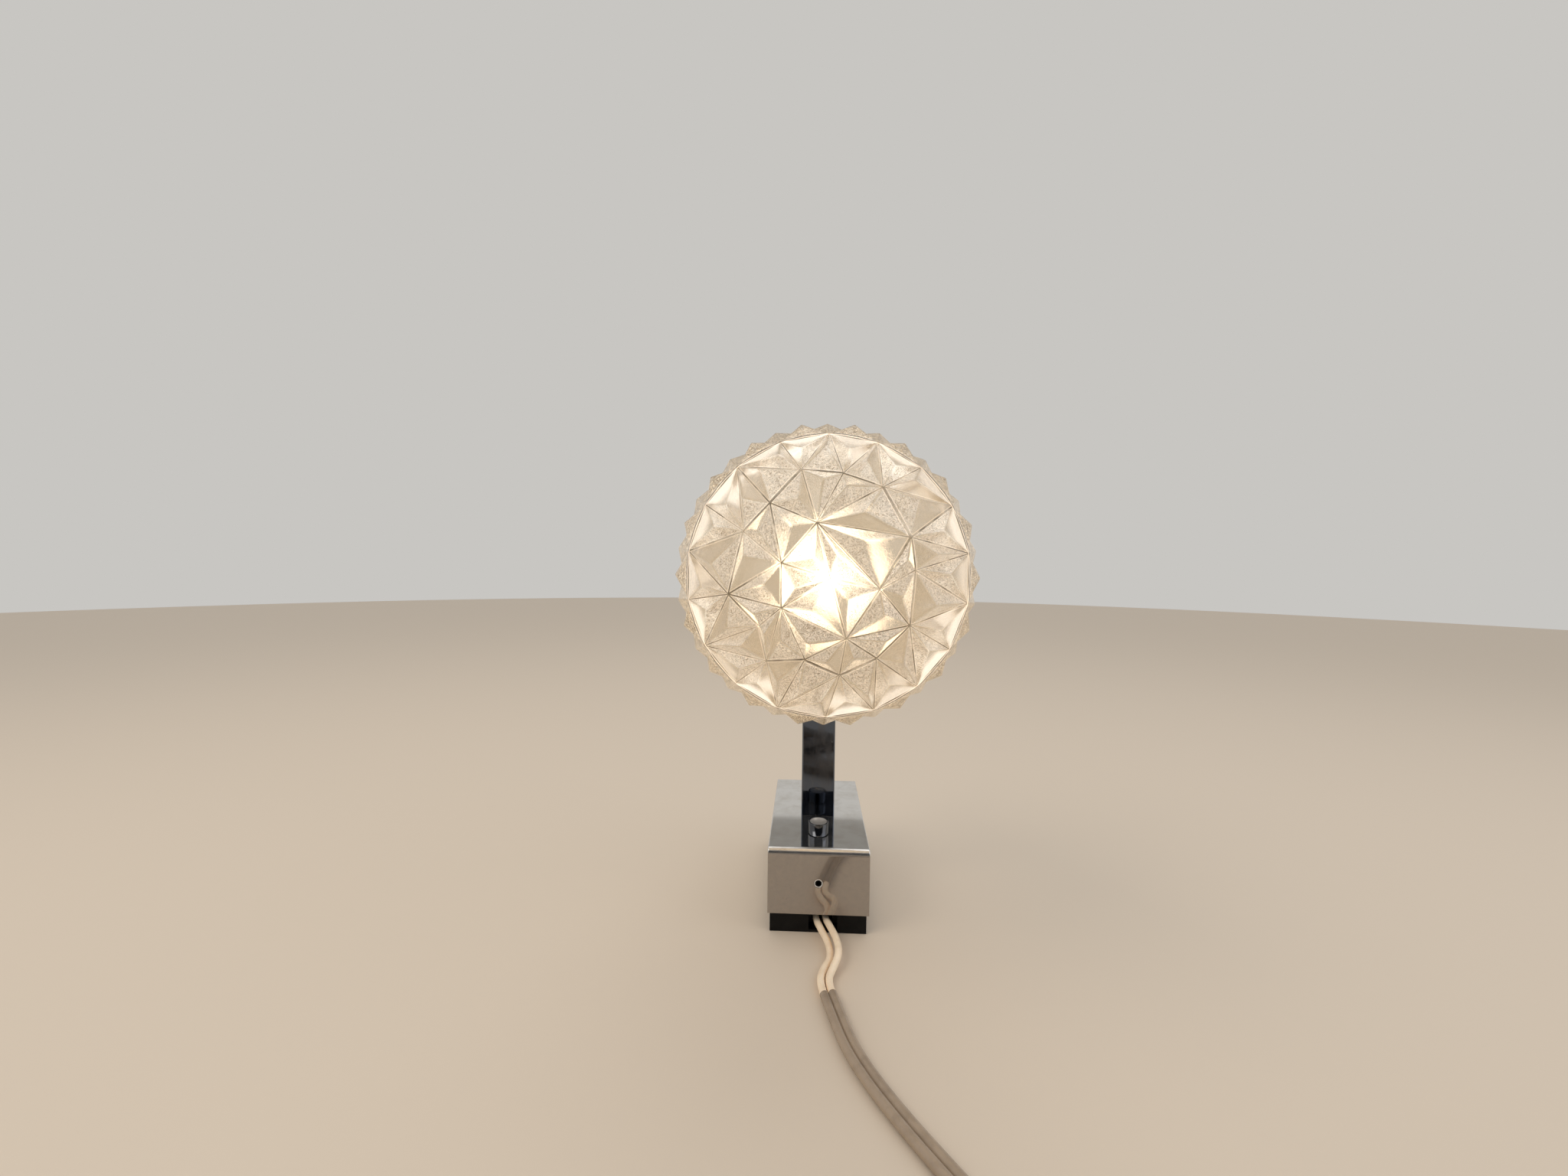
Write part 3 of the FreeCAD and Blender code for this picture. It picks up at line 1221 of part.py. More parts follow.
# Heights at which the two wires run out along the globe's axis, one above the other
WIRE_OFFSET = 1.5
WIRE_BACK = ARM_INSIDE / 2 - WIRE_DIAMETER / 2 - WIRE_GAP
WIRE_END_HEIGHTS = (GLOBE_AXIS_HEIGHT - WIRE_OFFSET, GLOBE_AXIS_HEIGHT + WIRE_OFFSET)
WIRE_END_REACH = INSERT_REAR + INSERT_THICKNESS / 4
TAB_END_Y = -BUTTON_FROM_CENTRE + SWITCH_BODY_LENGTH / 2 + TAB_LENGTH
BLOCK_BACK = BLOCK_LENGTH / 2
NIPPLE_FOOT = COVER_UNDERSIDE - WASHER_THICKNESS - NUT_THICKNESS - NIPPLE_END


def lead_tails():
    """The leads' last stretch inside the box, from the clamp to the terminal block."""
    tails = []
    for side, route in ((-1, LEAD_LEFT_ROUTE), (1, LEAD_RIGHT_ROUTE)):
        pole = side * POLE_SPACING / 2
        start = route[0]
        path = [
            start,
            (start[0], start[1] + LEAD_TAIL_RUN, start[2]),
            (pole, -BLOCK_LENGTH / 2 - LEAD_TAIL_RUN, POLE_AXIS),
            (pole, -BLOCK_LENGTH / 2, POLE_AXIS),
        ]
        tails.append(lead_tube("lead tail", path, LEAD_DIAMETER))
    return tails


def wire_block_to_switch():
    """The wire from the block's left pole to the switch."""
    pole = -POLE_SPACING / 2
    loop = WIRE_LOOP
    return lead_tube("wire from block to switch", [
        (pole, BLOCK_BACK - WIRE_GRIP, POLE_AXIS),
        (pole, BLOCK_BACK + 1.1 * loop, POLE_AXIS),
        (pole - 0.8 * loop, BLOCK_BACK + 2 * loop, POLE_AXIS + 0.8 * loop),
        (pole - 1.6 * loop, BLOCK_BACK + 1.6 * loop, POLE_AXIS + 2 * loop),
        (pole - 1.8 * loop, BLOCK_BACK, BLOCK_TOP + 0.7 * loop),
        (pole - 1.5 * loop, BLOCK_BACK - 1.6 * loop, TAB_HEIGHT - 0.3 * loop),
        (pole - 0.5 * loop, TAB_END_Y + 2.2 * loop, TAB_HEIGHT),
        (-TAB_SPACING / 2, TAB_END_Y + 1.2 * loop, TAB_HEIGHT),
        (-TAB_SPACING / 2, TAB_END_Y, TAB_HEIGHT),
    ], WIRE_DIAMETER)


def arm_wire(name, start, entry_y, back_y, end_height):
    """A wire from the box through the foot nipple, up the back of the arm, and out along the globe's axis."""
    foot = COVER_FACE + FOOT_PLUG_LENGTH
    return lead_tube(name, start + [
        (0, entry_y, NIPPLE_FOOT + WIRE_GRIP),
        (0, entry_y, foot + WIRE_GRIP),
        (0, back_y, foot + 4 * WIRE_LOOP),
        (0, back_y, end_height),
        (0, -WIRE_END_REACH, end_height),
    ], WIRE_DIAMETER, WIRE_BEND)


def wire_switch_to_holder():
    """The switched wire, from the switch to the lampholder."""
    side = TAB_SPACING / 2
    loop = WIRE_LOOP
    return arm_wire("wire from switch to holder", [
        (side, TAB_END_Y, TAB_HEIGHT),
        (side, TAB_END_Y + loop, TAB_HEIGHT),
        (side / 2, TAB_END_Y + 2.1 * loop, TAB_HEIGHT + 0.2 * loop),
        (0, -WIRE_OFFSET - 0.2 * loop, NIPPLE_FOOT - 1.1 * loop),
    ], -WIRE_OFFSET, WIRE_BACK - WIRE_DIAMETER - WIRE_GAP, WIRE_END_HEIGHTS[0])


def wire_block_to_holder():
    """The other wire, from the block's right pole to the lampholder."""
    pole = POLE_SPACING / 2
    loop = WIRE_LOOP
    return arm_wire("wire from block to holder", [
        (pole, BLOCK_BACK - WIRE_GRIP, POLE_AXIS),
        (pole, BLOCK_BACK + 1.2 * loop, POLE_AXIS + 0.1 * loop),
        (pole + 0.1 * loop, BLOCK_BACK + 1.9 * loop, POLE_AXIS + 1.6 * loop),
        (pole / 2, BLOCK_BACK + 0.5 * loop, BLOCK_TOP + 1.5 * loop),
        (0, WIRE_OFFSET + 0.2 * loop, NIPPLE_FOOT - 1.1 * loop),
    ], WIRE_OFFSET, WIRE_BACK, WIRE_END_HEIGHTS[1])


def flex_direction():
    """The flex's first direction, along which both leads meet its lobes."""
    return (Vector(*FLEX_ROUTE[1]) - Vector(*FLEX_ROUTE[0])).normalize()


def lead(name, route, side):
    """A lead from the clamp to its lobe of the flex, its last run in line with the flex."""
    along = flex_direction()
    across = Vector(-along.y, along.x, 0)
    lobe = Vector(*FLEX_ROUTE[0]) + across * (side * LEAD_END_SPACING / 2)
    return lead_tube(name, route + [tuple(lobe - along * LEAD_END_RUN), tuple(lobe)], LEAD_DIAMETER)


def coil_place(turned_angle):
    """The flex's centre in the coil after it has turned by an angle, in degrees, and its direction there.

    It spirals in at a steady rate for half of its turns, climbs to the second layer in the half turn
    where the spiral reverses, and spirals out again.
    """
    total = COIL_TOTAL_ANGLE
    half = total / 2
    rate = COIL_PITCH / 360.0
    layer_rise = FLEX_THICKNESS + COIL_LAYER_GAP
    climb = COIL_CLIMB_ANGLE

    def place(turn):
        angle = math.radians(COIL_START_ANGLE - turn)
        inward = min(turn, total - turn)
        step = (half - inward) / (climb / 2)
        blend = max(0.0, 1.0 - step)
        radius = COIL_OUTER_RADIUS - rate * inward + rate * (climb / 4) * blend ** 2
        share = min(1.0, max(0.0, (turn - half) / climb + 0.5))
        rise = layer_rise * (3 * share ** 2 - 2 * share ** 3)
        height = FLEX_HEIGHT + COIL_LIFT + rise
        return Vector(
            COIL_CENTRE_X + radius * math.cos(angle), COIL_CENTRE_Y + radius * math.sin(angle), height
        )

    step = 0.01
    return place(turned_angle), (place(turned_angle + step) - place(turned_angle - step)).normalize()


COIL_TOTAL_ANGLE = 360.0 * COIL_TURNS + COIL_START_ANGLE - COIL_END_ANGLE


def biarc(start, start_direction, end, end_direction):
    """Two arcs, tangent to each other, between two points with set directions."""
    chord = end - start
    both = start_direction + end_direction
    a = both.dot(both) - 4
    b = -2 * chord.dot(both)
    c = chord.dot(chord)
    handle = (-b - math.sqrt(b * b - 4 * a * c)) / (2 * a)
    if handle < 0:
        handle = (-b + math.sqrt(b * b - 4 * a * c)) / (2 * a)
    first = start + start_direction * handle
    second = end - end_direction * handle
    middle = (first + second) * 0.5
    edges = []
    for p, corner, q in ((start, first, middle), (middle, second, end)):
        into = (corner - p).normalize()
        out = (q - corner).normalize()
        half_turn = into.getAngle(out) / 2
        if half_turn < 1e-5:
            edges.append(Part.LineSegment(p, q).toShape())
            continue
        radius = p.distanceToPoint(corner) / math.tan(half_turn)
        sag = radius * (1 / math.cos(half_turn) - 1)
        edges.append(Part.Arc(p, corner + (out - into).normalize() * sag, q).toShape())
    return edges


def coil_path():
    """The coil's centreline: straight for one width, biarcs of a quarter turn, and a tail to the plug."""
    quarters = round(COIL_TOTAL_ANGLE / 90.0)
    angles = [COIL_TOTAL_ANGLE * k / quarters for k in range(quarters + 1)]
    places = [coil_place(a) for a in angles]
    edges = []
    start, direction = places[0]
    edges.append(Part.LineSegment(start - direction * FLEX_WIDTH, start).toShape())
    for (p, t), (q, u) in zip(places, places[1:]):
        edges += biarc(p, t, q, u)
    end, direction = places[-1]
    edges.append(Part.LineSegment(end, end + direction * COIL_TAIL).toShape())
    return Part.Wire(edges)


def coil_self_gap():
    """The least gap between turns of the coil, measured on points of its centreline."""
    step = 6
    half_turn = 180 // step
    places = [coil_place(a)[0] for a in range(0, int(COIL_TOTAL_ANGLE), step)]
    least = COIL_OUTER_RADIUS
    for i, p in enumerate(places):
        for q in places[i + half_turn:]:
            flat = max(0.0, math.hypot(p.x - q.x, p.y - q.y) - (FLEX_WIDTH - FLEX_THICKNESS))
            least = min(least, math.hypot(flat, p.z - q.z) - FLEX_THICKNESS)
    return least


COIL_PATH = coil_path()
COIL_ENTRY = COIL_PATH.Edges[0].Vertexes[0].Point
COIL_EXIT = COIL_PATH.Edges[-1].Vertexes[-1].Point


def flex_run():
    """The flex on the table, from the ends of the leads to the coil."""
    entry = COIL_ENTRY
    into = coil_place(0)[1]
    route = FLEX_ROUTE + [tuple(entry - into * COIL_LEAD_IN), tuple(entry)]
    path, radii = route_path(route)
    start = Vector(*route[0])
    return swept("flex run", path, flat_section(start, flex_direction(), FLEX_WIDTH, FLEX_THICKNESS), radii)


def flex_coil():
    """The flex wound up: its turns lie side by side in two layers."""
    print(f"flex coil: least gap to itself {coil_self_gap():.2f}")
    section = flat_section(COIL_ENTRY, coil_place(0)[1], FLEX_WIDTH, FLEX_THICKNESS)
    return swept("flex coil", COIL_PATH, section)


def coil_tie():
    """The strap that holds the coil's turns together."""
    centre = Vector(COIL_CENTRE_X, COIL_CENTRE_Y, 0)
    first = (COIL_START_ANGLE - TIE_ANGLE) % 360.0
    turns = [coil_place(first + 360.0 * k)[0] for k in range(COIL_TURNS)]
    radii = [math.hypot(p.x - centre.x, p.y - centre.y) for p in turns]
    inner = min(radii) - FLEX_WIDTH / 2 - TIE_SIDE_GAP
    outer = max(radii) + FLEX_WIDTH / 2 + TIE_SIDE_GAP
    top = COIL_LIFT + COIL_LAYERS * FLEX_THICKNESS + COIL_LAYER_GAP + TIE_GAP
    half = TIE_WIDTH / 2
    band = box((inner - TIE_THICKNESS, outer + TIE_THICKNESS), (-half, half), (0, top + TIE_THICKNESS))
    band = band.makeFillet(
        TIE_THICKNESS, [e for e in band.Edges if e.BoundBox.YLength > half]
    )
    hole = box((inner, outer), (-half - 1, half + 1), (TIE_THICKNESS, top))
    strap = band.cut(hole)
    strap.rotate(Vector(0, 0, 0), Vector(0, 0, 1), TIE_ANGLE)
    strap.translate(centre)
    return strap


def at_plug(shape):
    """Turns a body made along +X from the cord's end to the cord's own direction."""
    direction = coil_place(COIL_TOTAL_ANGLE)[1]
    shape.rotate(Vector(0, 0, 0), Vector(0, 0, 1), math.degrees(math.atan2(direction.y, direction.x)))
    shape.translate(COIL_EXIT)
    return shape


def plug_relief():
    """The tapered sleeve where the flex enters the plug."""
    sections = []
    for x, width, thickness in (
        (0.0, FLEX_WIDTH + 2 * RELIEF_WALL, FLEX_THICKNESS + 2 * RELIEF_WALL),
        (RELIEF_LENGTH, RELIEF_WIDTH, RELIEF_THICKNESS),
    ):
        sections.append(flat_section(Vector(x, 0, 0), Vector(1, 0, 0), width, thickness))
    return at_plug(Part.makeLoft(sections, True, True))


def plug_body():
    """The flat two-pin plug: waisted towards the cord and widest at the pins."""
    start = RELIEF_LENGTH
    end = RELIEF_LENGTH + PLUG_LENGTH
    tail = PLUG_TAIL_WIDTH / 2
    wide = PLUG_WIDTH / 2
    nose = PLUG_NOSE_WIDTH / 2
    shoulder = start + PLUG_LENGTH * PLUG_SHOULDER_SHARE
    waist_x = (start + shoulder) / 2 - PLUG_WAIST_BOW
    waist_y = (tail + wide) / 2 + PLUG_WAIST_BOW
    outline = Part.Wire([
        Part.LineSegment(Vector(start, -tail, 0), Vector(start, tail, 0)).toShape(),
        Part.Arc(
            Vector(start, tail, 0),
            Vector(waist_x, waist_y, 0),
            Vector(shoulder, wide, 0),
        ).toShape(),
        Part.LineSegment(Vector(shoulder, wide, 0), Vector(end, nose, 0)).toShape(),
        Part.LineSegment(Vector(end, nose, 0), Vector(end, -nose, 0)).toShape(),
        Part.LineSegment(Vector(end, -nose, 0), Vector(shoulder, -wide, 0)).toShape(),
        Part.Arc(
            Vector(shoulder, -wide, 0),
            Vector(waist_x, -waist_y, 0),
            Vector(start, -tail, 0),
        ).toShape(),
    ])
    body = Part.Face(outline).extrude(Vector(0, 0, PLUG_THICKNESS))
    body.translate(Vector(0, 0, -PLUG_THICKNESS / 2))
    rims = [e for e in body.Edges if e.BoundBox.ZLength < 1e-3]
    body = body.makeFillet(PLUG_EDGE, rims)
    pin_seats = [
        Part.makeCylinder(
            PIN_DIAMETER / 2 + THREAD_GAP,
            PIN_SEAT + 1,
            Vector(end - PIN_SEAT, side * PIN_SPACING / 2, 0),
            Vector(1, 0, 0),
        )
        for side in (-1, 1)
    ]
    return at_plug(body.cut(pin_seats))


def plug_pins():
    """The plug's two round pins, set into its nose."""
    end = RELIEF_LENGTH + PLUG_LENGTH
    pins = []
    for side in (-1, 1):
        start = Vector(end - PIN_SEAT, side * PIN_SPACING / 2, 0)
        pin = Part.makeCylinder(PIN_DIAMETER / 2, PIN_LENGTH + PIN_SEAT, start, Vector(1, 0, 0))
        tip = [e for e in pin.Edges if e.BoundBox.XMin > end + PIN_LENGTH - 1e-3]
        pins.append(at_plug(pin.makeFillet(PIN_DIAMETER / 4, tip)))
    return pins


def main():
    """Builds every piece and writes one STEP file for each node."""
    nodes = {
        "wall_tray": wall_tray(),
        "press_nuts": press_nuts(),
        "cover": cover(),
        "cover_screws": grub_screws(),
        "arm_tube": arm_tube(),
        "arm_cap": arm_cap(),
        "foot_plug": foot_plug(),
        "foot_nipple": foot_nipple(),
        "foot_washer": foot_washer(),
        "foot_nut": nipple_nut(COVER_UNDERSIDE - WASHER_THICKNESS - NUT_THICKNESS),
        "button_cap": button_cap(),
        "button_stem": button_stem(),
        "switch_spring": switch_spring(),
        "switch_body": switch_body(),
        "switch_nut": switch_nut(),
        "switch_bracket": switch_bracket(),
        "switch_tabs": switch_tabs(),
        "terminal_block": terminal_block(),
        "terminal_sleeves": terminal_sleeves(),
        "terminal_screws": terminal_screws(),
        "block_screw": block_screw(),
        "clamp_saddle": clamp_saddle(),
        "clamp_bar": clamp_bar(),
        "clamp_screws": clamp_screws(),
        "globe_nipple": globe_nipple(),
        "globe_nut": globe_nut(),
        "globe_collar": globe_collar(),
        "gallery": gallery(),
        "gasket": gasket(),
        "glass_shade": glass_shade(),
        "holder_cap": holder_cap(),
        "holder_skirt": holder_skirt(),
        "holder_insert": holder_insert(),
        "holder_contact": holder_contact(),
        "holder_sleeve": holder_sleeve(),
        "bulb_cap": bulb_cap(),
        "bulb_contact": bulb_contact(),
        "bulb_glass": bulb_glass(),
        "bulb_stem": bulb_stem(),
        "bulb_filament": bulb_filament(),
        "lead_tails": lead_tails(),
        "wire_block_to_switch": wire_block_to_switch(),
        "wire_switch_to_holder": wire_switch_to_holder(),
        "wire_block_to_holder": wire_block_to_holder(),
        "lead_left": lead("left lead", LEAD_LEFT_ROUTE, -1),
        "lead_right": lead("right lead", LEAD_RIGHT_ROUTE, 1),
        "flex_run": flex_run(),
        "flex_coil": flex_coil(),
        "coil_tie": coil_tie(),
        "plug_relief": plug_relief(),
        "plug_body": plug_body(),
        "plug_pins": plug_pins(),
    }
    os.makedirs("parts", exist_ok=True)
    for name, shape in nodes.items():
        if isinstance(shape, list):
            shape = Part.makeCompound(shape)
        shape.exportStep(os.path.join("parts", name + ".step"))
        print(f"{name}: {len(shape.Solids)} solid(s), {shape.Volume:.1f} mm3, valid {shape.isValid()}")


main()
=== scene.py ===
"""Dresses the wall sconce: chromed box and arm, pressed-glass globe, opal bulb, push button and flat flex.

All sizes in the classes below are in millimetres, in the lamp's own frame: the origin is the middle of the
wall tray's back, +Z points away from the wall, +Y along the box and +X across it. Meshes are made in metres.
"""

import logging
import math
from dataclasses import dataclass
from enum import Enum
from typing import Sequence

import bmesh
import bpy
import numpy as np
from mathutils import Matrix, Vector

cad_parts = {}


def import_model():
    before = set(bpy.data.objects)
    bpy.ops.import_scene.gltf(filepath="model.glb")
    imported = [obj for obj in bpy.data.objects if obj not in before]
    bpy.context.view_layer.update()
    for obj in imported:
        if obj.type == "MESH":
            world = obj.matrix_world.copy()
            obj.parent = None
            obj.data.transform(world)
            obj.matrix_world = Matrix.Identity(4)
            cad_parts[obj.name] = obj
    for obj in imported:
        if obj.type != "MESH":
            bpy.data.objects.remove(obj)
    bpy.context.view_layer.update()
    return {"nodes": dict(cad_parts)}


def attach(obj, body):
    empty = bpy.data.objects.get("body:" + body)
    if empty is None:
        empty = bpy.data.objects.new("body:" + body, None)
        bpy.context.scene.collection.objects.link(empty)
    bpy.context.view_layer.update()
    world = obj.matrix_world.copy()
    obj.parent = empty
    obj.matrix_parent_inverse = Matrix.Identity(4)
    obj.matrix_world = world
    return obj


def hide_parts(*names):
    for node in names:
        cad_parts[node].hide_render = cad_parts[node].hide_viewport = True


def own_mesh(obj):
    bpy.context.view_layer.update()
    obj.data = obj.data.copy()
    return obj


log = logging.getLogger("sconce")

Pair = tuple[float, float]
Point = tuple[float, float, float]
Socket = bpy.types.NodeSocket
Material = bpy.types.Material
Piece = bpy.types.Object

MM = 0.001
UP = np.array([0.0, 0.0, 1.0])

# The globe's axis lies along Y at this height above the wall.
GLOBE_HEIGHT = 175.6

# Points closer than this are one point.
SEAM_METRES = 2e-6

# What a node is set to and which of its outputs is meant, unless something else is asked for.
TIMES = {"operation": "MULTIPLY"}
USUAL = {"Math": TIMES, "VectorMath": TIMES, "Mix": {"data_type": "RGBA"}}
OUTPUT = {"Mix": 2, "Attribute": "Fac", "TexCoord": "Object"}


class Body(Enum):
    """The rigid bodies that a piece can ride on."""

    FIXED = "sconce"
    BUTTON = "button"
    BULB = "bulb"
    GLOBE = "globe"


# ---- Colour and nodes ----


def linear(code: str) -> tuple[float, float, float, float]:
    """Turns an sRGB hex colour into linear light.

    Args:
        code: Six hex digits after a hash.

    Returns:
        Linear red, green and blue, and an alpha of one.
    """
    channels = np.array([int(code[i : i + 2], 16) for i in (1, 3, 5)]) / 255.0
    light = np.where(channels <= 0.04045, channels / 12.92, ((channels + 0.055) / 1.055) ** 2.4)
    return (*light.tolist(), 1.0)


def per_mm(size: float) -> float:
    """The texture scale that makes a pattern's features about this many millimetres long."""
    return 1.0 / (size * MM)


class Nodes:
    """A material's or world's node tree while it is being put together."""

    def __init__(self, owner: str | bpy.types.World) -> None:
        """Starts with an empty tree.

        Args:
            owner: The world, or else the name of the material to make.
        """
        self.owner = bpy.data.materials.new(owner) if isinstance(owner, str) else owner
        self.owner.use_nodes = True
        self.tree = self.owner.node_tree
        self.tree.nodes.clear()

    def add(self, kind: str, *inputs: object, out: str | int = "", **settings: object) -> Socket | None:
        """Adds a node with its settings and links.

        Args:
            kind: The node's type name without its ShaderNode.
            inputs: What its first inputs get: numbers, hex colours or outputs of other nodes.
            out: The name or number of the output that is wanted, if it isn't the usual one.
            settings: The node's own settings, and further inputs by identifier, with underscores for spaces.

        Returns:
            The output, or nothing for a node without one.
        """
        node = self.tree.nodes.new("ShaderNode" + kind)
        settings = USUAL.get(kind, {}) | settings
        sockets = {socket.identifier.replace(" ", "_"): socket for socket in node.inputs}
        for key in settings.keys() - sockets.keys():
            setattr(node, key, settings.pop(key))
        named = ((sockets[key], value) for key, value in settings.items())
        for socket, value in [*zip(node.inputs, inputs), *named]:
            if isinstance(value, Socket):
                self.tree.links.new(value, socket)
            else:
                socket.default_value = linear(value) if isinstance(value, str) else value
        out = OUTPUT.get(kind, 0) if out == "" else out
        return node.outputs[out] if node.outputs else None

    def surface(self, **inputs: object) -> Material:
        """Ends a material with a Principled surface that gets these inputs, and gives it back."""
        self.add("OutputMaterial", self.add("BsdfPrincipled", **inputs))
        return self.owner

    def place(self, *stretch: float) -> Socket:
        """Object coordinates, stretched along the axes where three numbers are given."""
        here = self.add("TexCoord")
        return self.add("Mapping", here, Scale=stretch) if stretch else here

    def cloud(
        self,
        size: float,
        detail: float,
        rough: float = 0.55,
        warp: float = 0.0,
        stretch: tuple[float, ...] = (),
        cut: tuple[float, ...] = (),
    ) -> Socket:
        """A cloudy pattern in the piece's own coordinates.

        Args:
            size: Size of its features in millimetres.
            detail: Number of finer layers.
            rough: Strength of the finer layers.
            warp: How strongly it bends itself.
            stretch: Scale along each axis.
            cut: The values that become 0 and 1, or else the two numbers after them; it is flat beyond them.

        Returns:
            The pattern's value.
        """
        layers = {"Detail": detail, "Roughness": rough, "Distortion": warp}
        noise = self.add("TexNoise", self.place(*stretch), Scale=per_mm(size), **layers)
        return self.add("MapRange", noise, *cut) if cut else noise

    def off_axis(self, height: float) -> Socket:
        """How far each place is from a line along Y.

        Args:
            height: The line's height in millimetres.

        Returns:
            The distance in metres.
        """
        centred = self.add("Mapping", self.place(), (0, 0, -height * MM))
        flat = self.add("VectorMath", centred, (1, 0, 1))
        return self.add("VectorMath", flat, operation="LENGTH", out="Value")

    def along(self, axis: int) -> Socket:
        """The place along X, Y or Z (0, 1 or 2), in metres."""
        return self.add("SeparateXYZ", self.place(), out=axis)


# ---- Finishes ----


@dataclass(frozen=True)
class WornChrome:
    """Bright chrome plate on steel, hazed by years of wiping, with pits where moisture got through."""

    name: str = "worn chrome plate"
    bright: str = "#C4C4C5"
    dull: str = "#A7A29B"
    pit: str = "#5A5046"
    gloss: float = 0.05
    haze: float = 0.22
    pit_size: float = 1.3
    pitting: float = 0.16
    film: float = 0.0
    # Painted reflection of the warm floor: strength of the browner film on the two end faces.
    painted_end_reflection: float = 0.0
    end: float = 47.9
    # Painted reflection: the darker tint of the two end faces.
    painted_end_tint: str = "#ADA8A2"
    # Colour of the dust film, which also carries the painted end reflection and the painted dish highlight.
    dust_and_painted_light_colour: str = "#D9D3C9"
    # How rough the dish gets, and how strongly its pale painted highlight shows.
    satin: float = 0.0
    bend: float = 0.0
    bend_start: float = 45.3
    bend_height: float = 39.2

    def build(self) -> Material:
        """Cloudy haze and wiping lines in the gloss, dull stains, small dark pits and a thin film of dust.

        On the two end faces a browner film and a darker tint are a painted reflection of the warm floor. The
        bends above them are rubbed to a satin that spreads the light. Where the dish attribute is 1, the
        plate is rougher and gets a pale film that is a painted highlight.

        Returns:
            The chrome material.
        """
        s = Nodes(self.name)
        hazy = s.cloud(9.0, 6.0, 0.6, warp=0.4, cut=(0.42, 0.72))
        wiping = s.cloud(1.2, 3.0, 0.7, stretch=(1, 0.12, 0.35))
        dots = s.add("TexVoronoi", s.place(), Scale=per_mm(self.pit_size))
        limit = s.add("Math", s.cloud(6.0, 3.0, 0.6, cut=(0.46, 0.64)), self.pitting)
        pits = s.add("MapRange", s.add("Math", limit, dots, operation="SUBTRACT"), 0.0, 0.05)
        tint = s.add("Mix", hazy, A_Color=self.bright, B_Color=self.dull)
        gloss = s.add("MapRange", wiping, 0.3, 0.75, self.gloss, self.haze)
        film = s.cloud(14.0, 4.0, 0.6, warp=0.5, cut=(0.3, 0.7, 0.4 * self.film, self.film))
        # Painted reflection of the warm floor: a browner film and a darker tint on both end faces.
        if self.painted_end_reflection:
            from_middle = s.add("Math", s.along(1), operation="ABSOLUTE")
            at_end = s.add("MapRange", from_middle, (self.end - 0.3) * MM, self.end * MM)
            painted_end_reflection_patches = s.cloud(4.0, 4.0, 0.6, warp=0.6, cut=(0.35, 0.65, 0.6 * self.painted_end_reflection, self.painted_end_reflection))
            film = s.add("Math", film, s.add("Math", at_end, painted_end_reflection_patches), operation="MAXIMUM")
            tint = s.add("Mix", at_end, A_Color=tint, B_Color=self.painted_end_tint)
        if self.bend:
            from_middle = s.add("Math", s.along(1), operation="ABSOLUTE")
            past = s.add("MapRange", from_middle, (self.bend_start - 0.4) * MM, self.bend_start * MM)
            above = s.add("MapRange", s.along(2), (self.bend_height - 0.4) * MM, self.bend_height * MM)
            worn = s.add("Math", s.add("Math", past, above), self.bend)
            gloss = s.add("Math", gloss, worn, operation="MAXIMUM")
            hazy = s.add("Math", hazy, s.add("MapRange", worn, 0.0, 0.1), operation="MAXIMUM")
        # Painted highlight: a pale film on the dish, besides its rougher satin.
        if self.satin:
            rubbed = s.add("Math", s.add("Attribute", attribute_name="dish"), self.satin)
            film = s.add("Math", film, s.add("Math", rubbed, 0.8), operation="MAXIMUM")
            gloss = s.add("Math", gloss, rubbed, operation="MAXIMUM")
            hazy = s.add("Math", hazy, rubbed, operation="MAXIMUM")
        # The film mixes dust with the painted end reflection and the painted dish highlight.
        dusted = s.add("Mix", film, A_Color=tint, B_Color=self.dust_and_painted_light_colour)
        satin = s.add("Math", hazy, gloss)
        rough_pits = s.add("MapRange", pits, 0.0, 1.0, self.gloss, 0.5)
        fine = s.add("Bump", Height=wiping, Distance=0.004 * MM, Strength=0.35)
        holes = s.add("MapRange", pits, 0.0, 1.0, 1.0, 0.0)
        return s.surface(
            Metallic=s.add("MapRange", film, 0.0, 1.0, 1.0, 0.0),
            Base_Color=s.add("Mix", pits, A_Color=dusted, B_Color=self.pit),
            Roughness=s.add("Math", satin, rough_pits, operation="MAXIMUM"),
            Normal=s.add("Bump", Height=holes, Distance=0.03 * MM, Strength=0.6, Normal=fine),
        )


@dataclass(frozen=True)
class BlackChrome:
    """Polished black chrome plate: a dark blue-grey mirror that shows every speck of dust."""

    name: str = "black chrome plate"
    colour: str = "#59616E"
    smear: str = "#6D7076"
    dust: str = "#A9A79F"
    speck: float = 2.6

    def build(self) -> Material:
        """A dark mirror with faint smears and sparse bright specks.

        Returns:
            The black chrome material.
        """
        s = Nodes(self.name)
        smears = s.cloud(8.0, 5.0, 0.6, warp=0.6, stretch=(1, 1, 0.4), cut=(0.45, 0.75))
        keep = s.cloud(5.0, 2.0, cut=(0.5, 0.62, 0.0, 0.085))
        dots = s.add("TexVoronoi", s.place(), Scale=per_mm(self.speck))
        specks = s.add("MapRange", s.add("Math", keep, dots, operation="SUBTRACT"), 0.0, 0.03)
        mirror = s.add("Mix", smears, A_Color=self.colour, B_Color=self.smear)
        gloss = s.add("MapRange", smears, 0.0, 1.0, 0.04, 0.2)
        return s.surface(
            Metallic=s.add("MapRange", specks, 0.0, 1.0, 1.0, 0.2),
            Base_Color=s.add("Mix", specks, A_Color=mirror, B_Color=self.dust),
            Roughness=s.add("Math", gloss, s.add("Math", specks, 0.6), operation="MAXIMUM"),
            Normal=s.add("Bump", Height=s.cloud(1.2, 3.0), Distance=0.003 * MM, Strength=0.3),
        )


